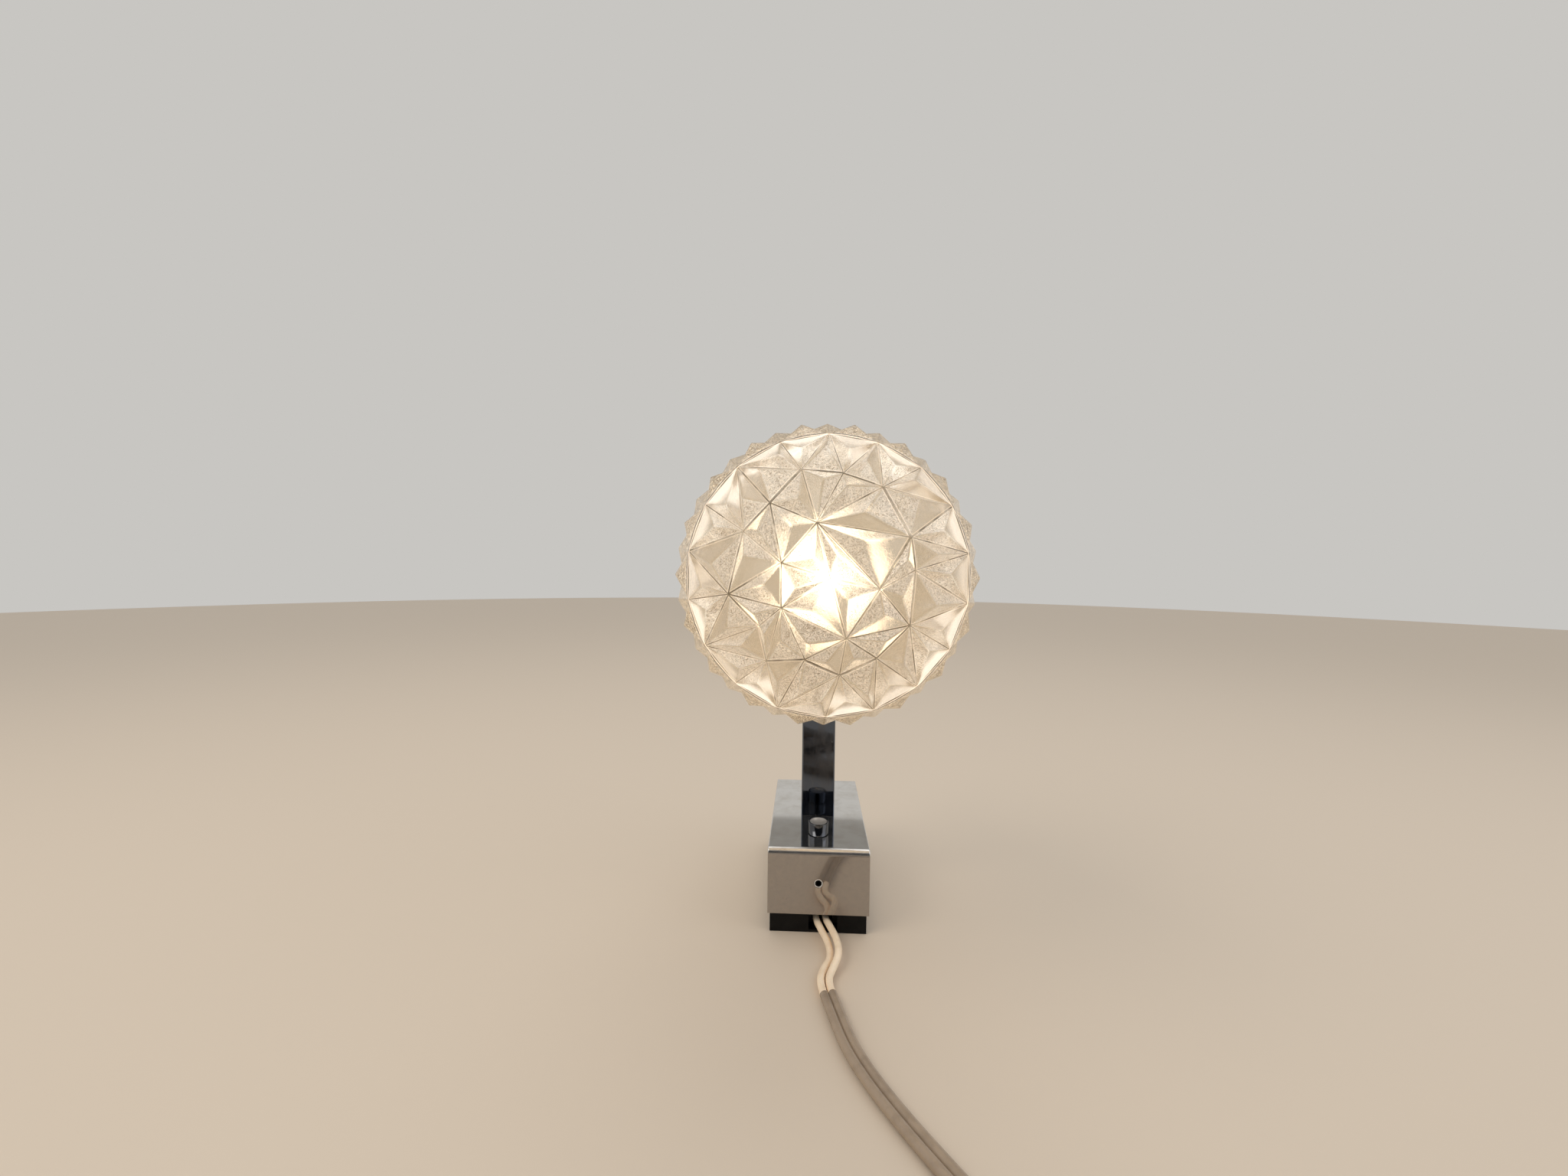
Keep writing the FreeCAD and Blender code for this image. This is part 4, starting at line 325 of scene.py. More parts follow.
@dataclass(frozen=True)
class DarkTrayFinish:
    """A near-black finish on the wall tray, faintly orange-peeled and rubbed at random; its near-black is
    painted shade for the gap under the box.
    """

    name: str = "near-black tray with painted shade"
    # Near-black, as painted shade for the gap under the box.
    colour: str = "#080808"
    rubbed: str = "#141312"

    def build(self) -> Material:
        """Near-black with a soft gloss, a fine orange peel and dustier patches; the near-black is painted
        shade.

        Returns:
            The tray's material.
        """
        s = Nodes(self.name)
        patches = s.cloud(7.0, 5.0, cut=(0.45, 0.75))
        return s.surface(
            Base_Color=s.add("Mix", patches, A_Color=self.colour, B_Color=self.rubbed),
            Specular_IOR_Level=0.2,
            Roughness=s.cloud(3.0, 4.0, cut=(0.3, 0.7, 0.42, 0.6)),
            Normal=s.add("Bump", Height=s.cloud(0.9, 2.0), Distance=0.01 * MM, Strength=0.5),
        )


@dataclass(frozen=True)
class TurnedMetal:
    """Plated or bare metal, drawn, turned or pressed, with the fine lines of its making."""

    name: str
    colour: str
    stain: str
    roughness: float = 0.28
    line: float = 0.25

    def build(self) -> Material:
        """Metal with fine making lines, a cloudy stain and a varying gloss.

        Returns:
            The metal material.
        """
        s = Nodes(self.name)
        stain = s.cloud(2.5, 5.0, cut=(0.48, 0.78))
        lines = s.cloud(self.line, 2.0, 0.5, stretch=(0.2, 1, 1))
        return s.surface(
            Metallic=1.0,
            Base_Color=s.add("Mix", stain, A_Color=self.colour, B_Color=self.stain),
            Roughness=s.add("MapRange", lines, 0.25, 0.75, self.roughness * 0.75, self.roughness * 1.35),
            Normal=s.add("Bump", Height=lines, Distance=0.006 * MM, Strength=0.4),
        )


@dataclass(frozen=True)
class SocketSteel:
    """Plated socket screws: a pale chamfered end, partly a painted highlight, around a socket painted black
    as painted shade.
    """

    name: str = "plated socket steel"
    # Bright is partly a painted highlight; the socket colour below is painted shade.
    bright: str = "#F6F4F0"
    painted_socket_shade: str = "#0B0B0C"
    height: float = 25.0
    socket: float = 1.65

    def build(self) -> Material:
        """Bright plate beyond the socket's radius, partly a painted highlight, and black within it as painted
        shade.

        Returns:
            The screws' material.
        """
        s = Nodes(self.name)
        uneven = s.cloud(0.5, 3.0, cut=(0.3, 0.7, -0.08 * MM, 0.08 * MM))
        away = s.add("Math", s.off_axis(self.height), uneven, operation="ADD")
        plate = s.add("MapRange", away, (self.socket - 0.05) * MM, (self.socket + 0.05) * MM)
        # Painted shade inside the socket, and a pale, half-matt plate around it that is partly a painted
        # highlight.
        return s.surface(
            Metallic=s.add("MapRange", plate, 0.0, 1.0, 0.0, 0.6),
            Base_Color=s.add("Mix", plate, A_Color=self.painted_socket_shade, B_Color=self.bright),
            Roughness=s.add("MapRange", plate, 0.0, 1.0, 0.7, 0.35),
            Specular_IOR_Level=0.1,
            Normal=s.add("Bump", Height=s.cloud(0.3, 2.0), Distance=0.004 * MM, Strength=0.4),
        )


@dataclass(frozen=True)
class Moulding:
    """A moulded plastic or ceramic body, with faint flow marks and a fine skin."""

    name: str
    colour: str
    flow: str
    roughness: float = 0.4
    grain: float = 0.35
    depth: float = 0.012

    def build(self) -> Material:
        """Two close shades in slow flow marks over a fine-grained skin.

        Returns:
            The moulding material.
        """
        s = Nodes(self.name)
        marks = s.cloud(5.0, 4.0, 0.5, warp=1.2, cut=(0.35, 0.7))
        skin = s.cloud(self.grain, 3.0)
        return s.surface(
            Base_Color=s.add("Mix", marks, A_Color=self.colour, B_Color=self.flow),
            Roughness=s.add("MapRange", skin, 0.3, 0.7, self.roughness * 0.85, self.roughness * 1.2),
            Normal=s.add("Bump", Height=skin, Distance=self.depth * MM, Strength=0.4),
        )


@dataclass(frozen=True)
class Vinyl:
    """Extruded vinyl on a lead or flex: glossy, with slow waves in its skin and handling dirt."""

    name: str
    colour: str
    dirt: str
    roughness: float = 0.3
    soiling: float = 0.5

    def build(self) -> Material:
        """A warm plastic with cloudy dirt, slow waves in its skin, and a little light passing into it.

        Returns:
            The vinyl material.
        """
        s = Nodes(self.name)
        patchiness = s.cloud(6.0, 5.0, 0.6, cut=(0.45, 0.8, 0.0, self.soiling))
        fine = s.cloud(0.3, 2.0)
        grain = s.add("Bump", Height=fine, Distance=0.008 * MM, Strength=0.3)
        return s.surface(
            Base_Color=s.add("Mix", patchiness, A_Color=self.colour, B_Color=self.dirt),
            Subsurface_Weight=0.08,
            Subsurface_Radius=(0.002, 0.0014, 0.0008),
            Subsurface_Scale=0.5,
            Coat_Weight=0.12,
            Roughness=s.add("MapRange", fine, 0.3, 0.7, self.roughness * 0.8, self.roughness * 1.3),
            Normal=s.add("Bump", Height=s.cloud(1.6, 3.0), Distance=0.06 * MM, Strength=0.35, Normal=grain),
        )


@dataclass(frozen=True)
class PressedGlass:
    """Thick glass pressed into facets in an iron mould: clear along its ridges, icy frost between them."""

    name: str = "pressed ice glass"
    clear: str = "#FFFBF2"
    frosted: str = "#F1E5D0"
    vein: str = "#8A7350"
    # Seam is the colour of the painted shade in the grooves.
    seam: str = "#6E6658"
    # Glow, flash and belt glow colour the glass's emission, all painted light.
    glow: str = "#FFE7CC"
    flash: str = "#FFF6E8"
    belt_glow: str = "#FFE0B4"
    grain: float = 0.6
    vein_size: float = 1.7
    pebble: float = 2.0
    # Rim: radius of the painted light and dark ring lines on the front.
    rim: float = 51.3
    rim_front: float = 106.0

    def build(self) -> Material:
        """Glass whose facets carry a stippled frost that the bulb lights from behind.

        The frost attribute is 0 on the ridges and grooves and rises on each facet. Where it is high, the
        glass is rougher, grainier and warmer, and glows. All glow of the glass is painted light, standing in
        for the bulb's light in the glass. The flash attribute marks the facets that throw the bulb's light
        straight out, which glow white as a painted highlight. Warped contour lines of noise are the dark
        veins of flow marks, closest on the belt outside the front rim, whose golden, mottled glow is painted
        light.
        The seam attribute is 1 at the bottom of a groove, which is darkened in patches as painted shade, with
        a painted light line on each side. The front rim is a circle about the globe's axis, drawn as a
        painted light line with a painted dark line outside it, standing in for the edge of the hollow seen
        through the glass.

        Returns:
            The glass material.
        """
        s = Nodes(self.name)
        frost = s.add("Attribute", attribute_name="frost")
        flash = s.add("Attribute", attribute_name="flash")
        seam = s.add("Attribute", attribute_name="seam")
        grain = s.cloud(self.grain, 4.0, 0.7, warp=0.8)
        pebble = s.cloud(self.pebble, 4.0, 0.65, warp=1.5)
        flow = s.add("Math", s.cloud(self.vein_size, 3.0, 0.6, warp=2.5), 0.5, operation="SUBTRACT")
        contour = s.add("Math", flow, operation="ABSOLUTE")
        away = s.off_axis(GLOBE_HEIGHT)
        belt = s.add("MapRange", away, (self.rim + 0.8) * MM, (self.rim + 1.6) * MM)
        crowd = s.add("Math", contour, s.add("MapRange", belt, 0.0, 1.0, 1.0, 0.5))
        vein = s.add("Math", frost, s.add("MapRange", crowd, 0.012, 0.05, 1.0, 0.0))
        icy = s.add("Math", frost, s.add("MapRange", grain, 0.34, 0.62, 0.45, 1.0))
        icy = s.add("Math", icy, s.add("MapRange", pebble, 0.36, 0.64, 0.6, 1.0))
        skin = s.add("Mix", icy, A_Color=self.clear, B_Color=self.frosted)
        skin = s.add("Mix", vein, A_Color=skin, B_Color=self.vein)
        front = s.add("MapRange", s.along(1), -(self.rim_front + 1.0) * MM, -self.rim_front * MM, 1.0, 0.0)
        sway = s.cloud(9.0, 2.0, cut=(0.3, 0.7, -0.25 * MM, 0.25 * MM))
        wander = s.add("Math", away, sway, operation="ADD")
        # Painted shade: the grooves darkened in patches.
        patchiness = s.cloud(14.0, 2.0, warp=0.6, cut=(0.42, 0.56, 0.12, 1.0))
        dark = s.add("Math", s.add("MapRange", seam, 0.35, 0.7), patchiness)
        # Painted shade: a dark line just outside the front rim.
        dark = s.add("Math", dark, self.ring(s, wander, front, self.rim + 0.55), operation="MAXIMUM")
        # Painted highlights: a light line beside each groove, added to the glow.
        light = s.add("Math", s.add("Math", seam, 0.25, operation="SUBTRACT"), operation="ABSOLUTE")
        light = s.add("MapRange", light, 0.05, 0.2, 1.0, 0.0)
        # Painted highlight: a light line on the front rim.
        rim = s.add("Math", self.ring(s, wander, front, self.rim), 2.2)
        light = s.add("Math", light, rim, operation="MAXIMUM")
        # Glow strength of the glass, painted light: stronger on frost, weaker on veins and shade, mottled on
        # the belt.
        painted_glow = s.add("MapRange", icy, 0.0, 1.0, 0.01, 0.37)
        painted_glow = s.add("Math", painted_glow, s.add("MapRange", vein, 0.0, 1.0, 1.0, 0.2))
        painted_glow = s.add("Math", painted_glow, s.add("MapRange", dark, 0.0, 1.0, 1.0, 0.15))
        mottle = s.add("Math", belt, s.add("MapRange", pebble, 0.4, 0.6, -0.45, 0.6))
        painted_glow = s.add("Math", painted_glow, s.add("Math", mottle, 1.0, operation="ADD"))
        painted_glow = s.add("Math", painted_glow, s.add("Math", light, 0.3), operation="ADD")
        # Painted highlight: flash facets glow more, and less where shaded.
        beam = s.add("Math", flash, s.add("MapRange", dark, 0.0, 1.0, 1.0, 0.2))
        beam = s.add("Math", beam, 0.55)
        glow = s.add("Mix", belt, A_Color=self.glow, B_Color=self.belt_glow)
        stipple = s.add("Bump", Height=pebble, Distance=0.15 * MM, Strength=0.6)
        return s.surface(
            Base_Color=s.add("Mix", dark, A_Color=skin, B_Color=self.seam),
            IOR=1.5,
            Roughness=s.add("MapRange", frost, 0.0, 1.0, 0.02, 0.2),
            Transmission_Weight=s.add("MapRange", frost, 0.0, 1.0, 1.0, 0.42),
            Emission_Color=s.add("Mix", flash, A_Color=glow, B_Color=self.flash),
            Emission_Strength=s.add("Math", painted_glow, beam, operation="ADD"),
            Normal=s.add("Bump", Height=grain, Distance=0.08 * MM, Strength=0.6, Normal=stipple),
        )

    @staticmethod
    def ring(s: Nodes, away: Socket, front: Socket, radius: float) -> Socket:
        """A line about 0.5 mm wide at this radius in millimetres from the axis, on the globe's front."""
        off = s.add("Math", s.add("Math", away, radius * MM, operation="SUBTRACT"), operation="ABSOLUTE")
        return s.add("Math", front, s.add("MapRange", off, 0.15 * MM, 0.3 * MM, 1.0, 0.0))


@dataclass(frozen=True)
class LitOpal:
    """A blown opal bulb with the lamp on, hottest where its filament is nearest to the glass."""

    name: str = "lit opal glass"
    colour: str = "#FFF6E6"
    glow: str = "#FFEDD3"
    cool: float = 1.3
    hot: float = 5.0
    spot: float = 15.0

    def build(self) -> Material:
        """White glass that glows all over, and much more strongly in a soft spot around its own axis.

        Returns:
            The opal material.
        """
        s = Nodes(self.name)
        cloud = s.cloud(14.0, 3.0, cut=(0.3, 0.7, 0.9, 1.1))
        away = s.off_axis(GLOBE_HEIGHT)
        heat = s.add("MapRange", away, self.spot * MM, 0.35 * self.spot * MM, self.cool, self.hot)
        strength = s.add("Math", heat, cloud)
        return s.surface(
            Base_Color=self.colour, Roughness=0.25, Emission_Color=self.glow, Emission_Strength=strength
        )


@dataclass(frozen=True)
class ClearGlass:
    """Drawn clear glass, with faint striations."""

    name: str = "clear glass"
    colour: str = "#F2F6F4"

    def build(self) -> Material:
        """Clear glass with slightly uneven gloss.

        Returns:
            The clear glass material.
        """
        s = Nodes(self.name)
        gloss = s.cloud(2.0, 3.0, cut=(0.3, 0.7, 0.01, 0.06))
        return s.surface(Base_Color=self.colour, Transmission_Weight=1.0, IOR=1.5, Roughness=gloss)


# ---- Meshes ----


@dataclass(frozen=True)
class Dress:
    """What a finished piece is: its slot, its material, the nodes it stands for, its crease and its body."""

    slot: str
    material: Material
    replaces: tuple[str, ...]
    crease: float = 40.0
    body: Body = Body.FIXED


def in_scene(name: str, data: bpy.types.ID) -> Piece:
    """Puts a mesh, curve, lamp or camera into the scene.

    Args:
        name: The object's name.
        data: What the object shows.

    Returns:
        The object.
    """
    piece = bpy.data.objects.new(name, data)
    bpy.context.scene.collection.objects.link(piece)
    return piece


def add_piece(
    name: str,
    points: np.ndarray,
    faces: list[list[int]],
    dress: Dress,
    values: dict[str, np.ndarray] | None = None,
) -> Piece:
    """Makes a piece from points in millimetres, merges its seams, turns its faces outwards and dresses it.

    Args:
        name: The piece's name.
        points: Points in millimetres, one row each.
        faces: Point numbers of each face.
        dress: What the piece is.
        values: Numbers carried at each point, by attribute name.

    Returns:
        The new object.
    """
    mesh = bpy.data.meshes.new(name)
    mesh.from_pydata((points * MM).tolist(), [], faces)
    for key, numbers in (values or {}).items():
        mesh.attributes.new(key, "FLOAT", "POINT").data.foreach_set("value", numbers.astype(np.float32))
    tidy = bmesh.new()
    tidy.from_mesh(mesh)
    bmesh.ops.remove_doubles(tidy, verts=tidy.verts, dist=SEAM_METRES)
    bmesh.ops.dissolve_degenerate(tidy, edges=tidy.edges, dist=SEAM_METRES / 20)
    bmesh.ops.recalc_face_normals(tidy, faces=tidy.faces)
    tidy.to_mesh(mesh)
    tidy.free()
    return finish_piece(name, mesh, dress)


def finish_piece(name: str, mesh: bpy.types.Mesh, dress: Dress) -> Piece:
    """Shades a mesh smooth up to its creases, gives it its material and hangs it on its body.

    Args:
        name: The piece's name.
        mesh: The finished mesh, in metres.
        dress: What the piece is.

    Returns:
        The new object.
    """
    mesh.polygons.foreach_set("use_smooth", [True] * len(mesh.polygons))
    mesh.set_sharp_from_angle(angle=math.radians(dress.crease))
    mesh.materials.clear()
    mesh.materials.append(dress.material)
    piece = in_scene(name, mesh)
    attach(piece, dress.body.value)
    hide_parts(*dress.replaces)
    log.info("%s: %d points, %d faces", name, len(mesh.vertices), len(mesh.polygons))
    return piece


def rounded_copy(name: str, node: Piece, dress: Dress, edge: float = 0.0) -> Piece:
    """A copy of a CAD node with its seams merged, its flat faces joined and its sharp edges rounded.

    Args:
        name: The new piece's name.
        node: The CAD node to copy.
        dress: What the piece is.
        edge: Width in millimetres to which sharp edges are rounded; zero leaves them.

    Returns:
        The new object.
    """
    mesh = node.data.copy()
    tidy = bmesh.new()
    tidy.from_mesh(mesh)
    bmesh.ops.remove_doubles(tidy, verts=tidy.verts, dist=SEAM_METRES)
    bmesh.ops.dissolve_limit(tidy, angle_limit=math.radians(0.4), verts=tidy.verts, edges=tidy.edges)
    tidy.to_mesh(mesh)
    tidy.free()
    if mesh.has_custom_normals:
        mesh.attributes.remove(mesh.attributes["custom_normal"])
    piece = finish_piece(name, mesh, dress)
    if edge > 0:
        bevel = piece.modifiers.new("rounded edges", "BEVEL")
        bevel.width = edge * MM
        bevel.segments = 3
        bevel.limit_method = "ANGLE"
        bevel.angle_limit = math.radians(35)
    piece.modifiers.new("flat faces lead", "WEIGHTED_NORMAL").keep_sharp = True
    return piece


def grid_faces(rows: int, columns: int, wrap_rows: bool = False) -> np.ndarray:
    """Quads of a grid of points numbered row by row, whose columns close into a ring.

    Args:
        rows: Number of rows.
        columns: Number of points in a row.
        wrap_rows: Whether the last row joins the first.

    Returns:
        Four point numbers for each quad.
    """
    i, j = np.meshgrid(np.arange(rows if wrap_rows else rows - 1), np.arange(columns), indexing="ij")
    below, right = (i + 1) % rows, (j + 1) % columns
    corners = (i * columns + j, below * columns + j, below * columns + right, i * columns + right)
    return np.stack([corner.ravel() for corner in corners], axis=1)


def arc(place: float, radius: float, size: float, angle: np.ndarray) -> np.ndarray:
    """Points of an arc as (place + size times the angle's cosine, radius + size times its sine)."""
    return np.stack([place + size * np.cos(angle), radius + size * np.sin(angle)], axis=1)


def rounded_outline(points: Sequence[Pair], radii: Sequence[float], steps: int = 6) -> np.ndarray:
    """A closed outline with each corner replaced by an arc tangent to both sides.

    The arc is a rational quadratic curve whose middle weight is the cosine of half the turn.

    Args:
        points: The outline's corners in order.
        radii: A radius for each corner; zero keeps it sharp.
        steps: Points along each arc.

    Returns:
        The outline's points, one row each.
    """
    corners = np.array(points, dtype=float)
    before, after = np.roll(corners, 1, axis=0), np.roll(corners, -1, axis=0)
    share = np.linspace(0, 1, steps + 1)[:, None]
    rows = []
    for corner, left, right, radius in zip(corners, before, after, radii):
        lengths = [np.linalg.norm(corner - left), np.linalg.norm(right - corner)]
        into, out = (corner - left) / lengths[0], (right - corner) / lengths[1]
        turn = math.acos(float(np.clip(into @ out, -1, 1)))
        if radius <= 0 or turn < 1e-3:
            rows.append(corner[None, :])
            continue
        cut = min(radius * math.tan(turn / 2), 0.49 * min(lengths))
        middle = 2 * math.cos(turn / 2) * share * (1 - share)
        top = (1 - share) ** 2 * (corner - into * cut) + middle * corner + share**2 * (corner + out * cut)
        rows.append(top / ((1 - share) ** 2 + middle + share**2))
    return np.concatenate(rows)


@dataclass(frozen=True)
class TurningAxis:
    """An axis to turn a profile about, with the direction in which its places are counted."""

    origin: Point
    along: Point

    def turn(self, profile: np.ndarray, segments: int = 96) -> tuple[np.ndarray, list[list[int]]]:
        """Turns a closed profile of (place along the axis, radius) into a ring-shaped skin.

        Each profile point becomes a circle: place along the axis, plus the radius times the cosine and sine
        of the angle in the two directions square to it.

        Args:
            profile: The closed profile, one row for each point.
            segments: Points around the axis.

        Returns:
            The points and the quads.
        """
        along = np.array(self.along, dtype=float)
        second = np.cross(along, (1.0, 0.0, 0.0) if abs(along[0]) < 0.5 else (0.0, 1.0, 0.0))
        second /= np.linalg.norm(second)
        first = np.cross(second, along)
        angle = np.linspace(0, 2 * np.pi, segments, endpoint=False)[:, None]
        ring = np.cos(angle) * first + np.sin(angle) * second
        centre = np.array(self.origin) + profile[:, :1] * along
        points = centre[:, None, :] + profile[:, 1, None, None] * ring
        return points.reshape(-1, 3), grid_faces(len(profile), segments, wrap_rows=True).tolist()


def sweep(path: np.ndarray, outline: np.ndarray) -> tuple[np.ndarray, list[list[int]]]:
    """Carries a closed outline along a path over the table and closes both ends with fans.

    At each path point the outline's first number goes sideways, square to the path and level with the table,
    and its second goes along the remaining direction.

    Args:
        path: Points of the path.
        outline: The outline as (sideways, upwards), either one for the whole path or one for each point.

    Returns:
        The points and the faces.
    """
    tangent = np.gradient(path, axis=0)
    tangent /= np.linalg.norm(tangent, axis=1)[:, None]
    side = np.cross(tangent, UP)
    side /= np.linalg.norm(side, axis=1)[:, None]
    lift = np.cross(side, tangent)
    outlines = np.broadcast_to(outline, (len(path),) + outline.shape[-2:])
    points = path[:, None, :] + outlines[..., :1] * side[:, None, :] + outlines[..., 1:] * lift[:, None, :]
    columns = outline.shape[-2]
    last = len(path) * columns
    j = np.arange(columns)
    after = (j + 1) % columns
    end = last - columns
    faces = grid_faces(len(path), columns).tolist()
    faces += np.stack([j, after, np.full(columns, last)], axis=1).tolist()
    faces += np.stack([end + after, end + j, np.full(columns, last + 1)], axis=1).tolist()
    return np.concatenate([points.reshape(-1, 3), path[[0, -1]]]), faces


# ---- The globe ----


@dataclass
class Globe:
    """The pressed glass globe: starred facets around a smooth hollow, and a ribbed neck."""

    reach: float = 86.48
    groove_radius: float = 58.9
    inner_radius: float = 55.2
    peak_radius: float = 61.0
    neck_radius: float = 28.0
    neck_wall: float = 3.0
    neck_end: float = 15.5
    rib_starts: tuple[float, ...] = (29.0, 24.0, 19.0)
    rib_width: float = 1.8
    rib_height: float = 1.3
    rib_round: float = 0.25
    steps: int = 13
    crowding: float = 1.45
    groove_fill: float = 0.32
    groove_reach: float = 0.07
    ridge_melt: float = 0.22
    ridge_reach: float = 0.06
    pillow: float = 0.10
    waviness: float = 0.05
    wave_rates: Point = (0.9, 1.1, 0.8)
    edge_fade: float = 0.05
    seam_reach: float = 0.09
    beam_top: float = 0.85
    beam_fade: float = 0.4
    beam_step: float = 0.2
    clear_tone: float = 0.12
    tone_step: float = 0.12
    front_rings: tuple[tuple[Pair, ...], ...] = (
        ((0, 0),),
        ((18, 104), (16, 163), (18, 212), (20, 286), (16, 348)),
        (
            (28, 6), (30, 27), (36, 60), (36, 83), (39, 105), (32, 129), (33, 152),
            (35, 190), (28, 215), (36, 234), (28, 254), (33, 277), (31, 301), (31, 330),
        ),
    )
    even_rings: tuple[Point, ...] = ((61, 18, 10), (90, 18, 0), (119, 18, 10), (138, 12, 0))
    neck_crossings: int = 9
    peak_shares: Point = (0.45, 0.30, 0.25)
    belt_shares: tuple[Point, Point] = ((0.25, 0.25, 0.5), (0.2, 0.4, 0.4))
    shoulder_shares: Point = (0.56, 0.22, 0.22)

    def centre(self) -> np.ndarray:
        """The middle of the globe."""
        return np.array([0.0, -self.reach, GLOBE_HEIGHT])

    def crossings(self) -> list[np.ndarray]:
        """The groove crossings of every ring, from the front pole to the neck.

        A crossing lies at the groove radius in the direction (sin p cos a, -cos p, sin p sin a), where p is
        its angle from the front pole and a its angle from +X towards +Z. An even ring is given as p, the
        number of its crossings and the first one's a.

        Returns:
            One array of points for each ring.
        """
        rings = [np.array(ring, dtype=float) for ring in self.front_rings]
        neck_polar = 180 - math.degrees(math.asin((self.neck_radius + 0.1) / self.groove_radius))
        for polar, count, first in self.even_rings + ((neck_polar, self.neck_crossings, 0),):
            turns = first + 360.0 * np.arange(count) / count
            rings.append(np.stack([np.full(count, float(polar)), turns], axis=1))
        placed = []
        for ring in rings:
            p, a = np.radians(ring).T
            direction = np.stack([np.sin(p) * np.cos(a), -np.cos(p), np.sin(p) * np.sin(a)], axis=1)
            placed.append(self.centre() + self.groove_radius * direction)
        return placed

    @staticmethod
    def band(inner: np.ndarray, outer: np.ndarray) -> list[tuple[np.ndarray, int]]:
        """Triangles between two rings, always across the shorter diagonal.

        Args:
            inner: The ring nearer to the front pole.
            outer: The next ring.

        Returns:
            Each triangle's corners, and how many of them lie on the outer ring.
        """
        if len(inner) == 1:
            return [(np.stack([inner[0], p, q]), 2) for p, q in zip(outer, np.roll(outer, -1, axis=0))]
        start = int(np.argmin(np.linalg.norm(outer - inner[0], axis=1)))
        ring = np.roll(outer, -start, axis=0)
        triangles = []
        i = j = 0
        while i < len(inner) or j < len(ring):
            a, next_a = inner[i % len(inner)], inner[(i + 1) % len(inner)]
            b, next_b = ring[j % len(ring)], ring[(j + 1) % len(ring)]
            shorter = np.linalg.norm(next_a - b) < np.linalg.norm(next_b - a)
            if j == len(ring) or (i < len(inner) and shorter):
                triangles.append((np.stack([a, next_a, b]), 1))
                i += 1
            else:
                triangles.append((np.stack([a, b, next_b]), 2))
                j += 1
        return triangles

    def facets(self) -> tuple[np.ndarray, np.ndarray, np.ndarray]:
        """The corners of every facet: two groove crossings and the peak of the pyramid they belong to.

        A peak lies at the peak radius, in the direction of its triangle's corners averaged with unequal
        shares.

        Returns:
            An array of facets by three corners by three coordinates; how strongly each facet throws the
            bulb's light forwards, which only those along the third ring do; and how frosted each facet is.
            One facet of each front pyramid is nearly clear.
        """
        rings = self.crossings()
        belt = len(self.front_rings)
        found, beams, tones = [], [], []
        for number, (inner, outer) in enumerate(zip(rings, rings[1:])):
            for index, (corners, outer_corners) in enumerate(self.band(inner, outer)):
                turn = index % 3
                shoulder = number == belt - 1 and outer_corners == 2
                shares = self.peak_shares[turn:] + self.peak_shares[:turn]
                if number == belt:
                    shares = self.belt_shares[outer_corners - 1]
                elif shoulder:
                    shares = self.shoulder_shares
                lean = np.array(shares) @ (corners - self.centre())
                peak = self.centre() + lean / np.linalg.norm(lean) * self.peak_radius
                for k in range(3):
                    found.append(np.stack([corners[k], corners[(k + 1) % 3], peak]))
                    beams.append((1.0 - self.beam_step * (index % 4)) * (shoulder and k == 1))
                    clear = number < belt and k == turn
                    tones.append(self.clear_tone if clear else 1.0 - self.tone_step * ((index + k) % 3))
        return np.array(found), np.array(beams, dtype=float), np.array(tones)

    def melt(self, points: np.ndarray, shares: np.ndarray) -> np.ndarray:
        """Rounds the grooves and ridges of flat facets, as glass does when it leaves the mould.

        A point moves along the line from the globe's centre: outwards by the groove fill times the square of
        one minus its peak share over the groove reach, inwards by the ridge melt times the same square of its
        smaller groove share, and outwards by the pillow times 27 times the product of its three shares. A
        slow wave, the product of a sine along each axis, is added.

        Args:
            points: Points on the flat facets.
            shares: Each point's share of the facet's two crossings and its peak.

        Returns:
            The moved points.
        """
        peak = shares[..., 2]
        nearest = np.minimum(shares[..., 0], shares[..., 1])
        fill = self.groove_fill * np.clip(1 - peak / self.groove_reach, 0, 1) ** 2
        melt = self.ridge_melt * np.clip(1 - nearest / self.ridge_reach, 0, 1) ** 2 * np.clip(peak * 2, 0, 1)
        pillow = self.pillow * 27 * shares.prod(axis=-1)
        offset = points - self.centre()
        direction = offset / np.linalg.norm(offset, axis=-1)[..., None]
        wave = self.waviness * np.sin(offset * self.wave_rates + np.arange(3)).prod(axis=-1)
        return points + direction * (fill - melt + pillow + wave)[..., None]

    def crowded(self, shares: np.ndarray) -> np.ndarray:
        """Shares raised to the crowding power and divided by their sum."""
        raised = shares**self.crowding
        return raised / raised.sum(axis=-1, keepdims=True)

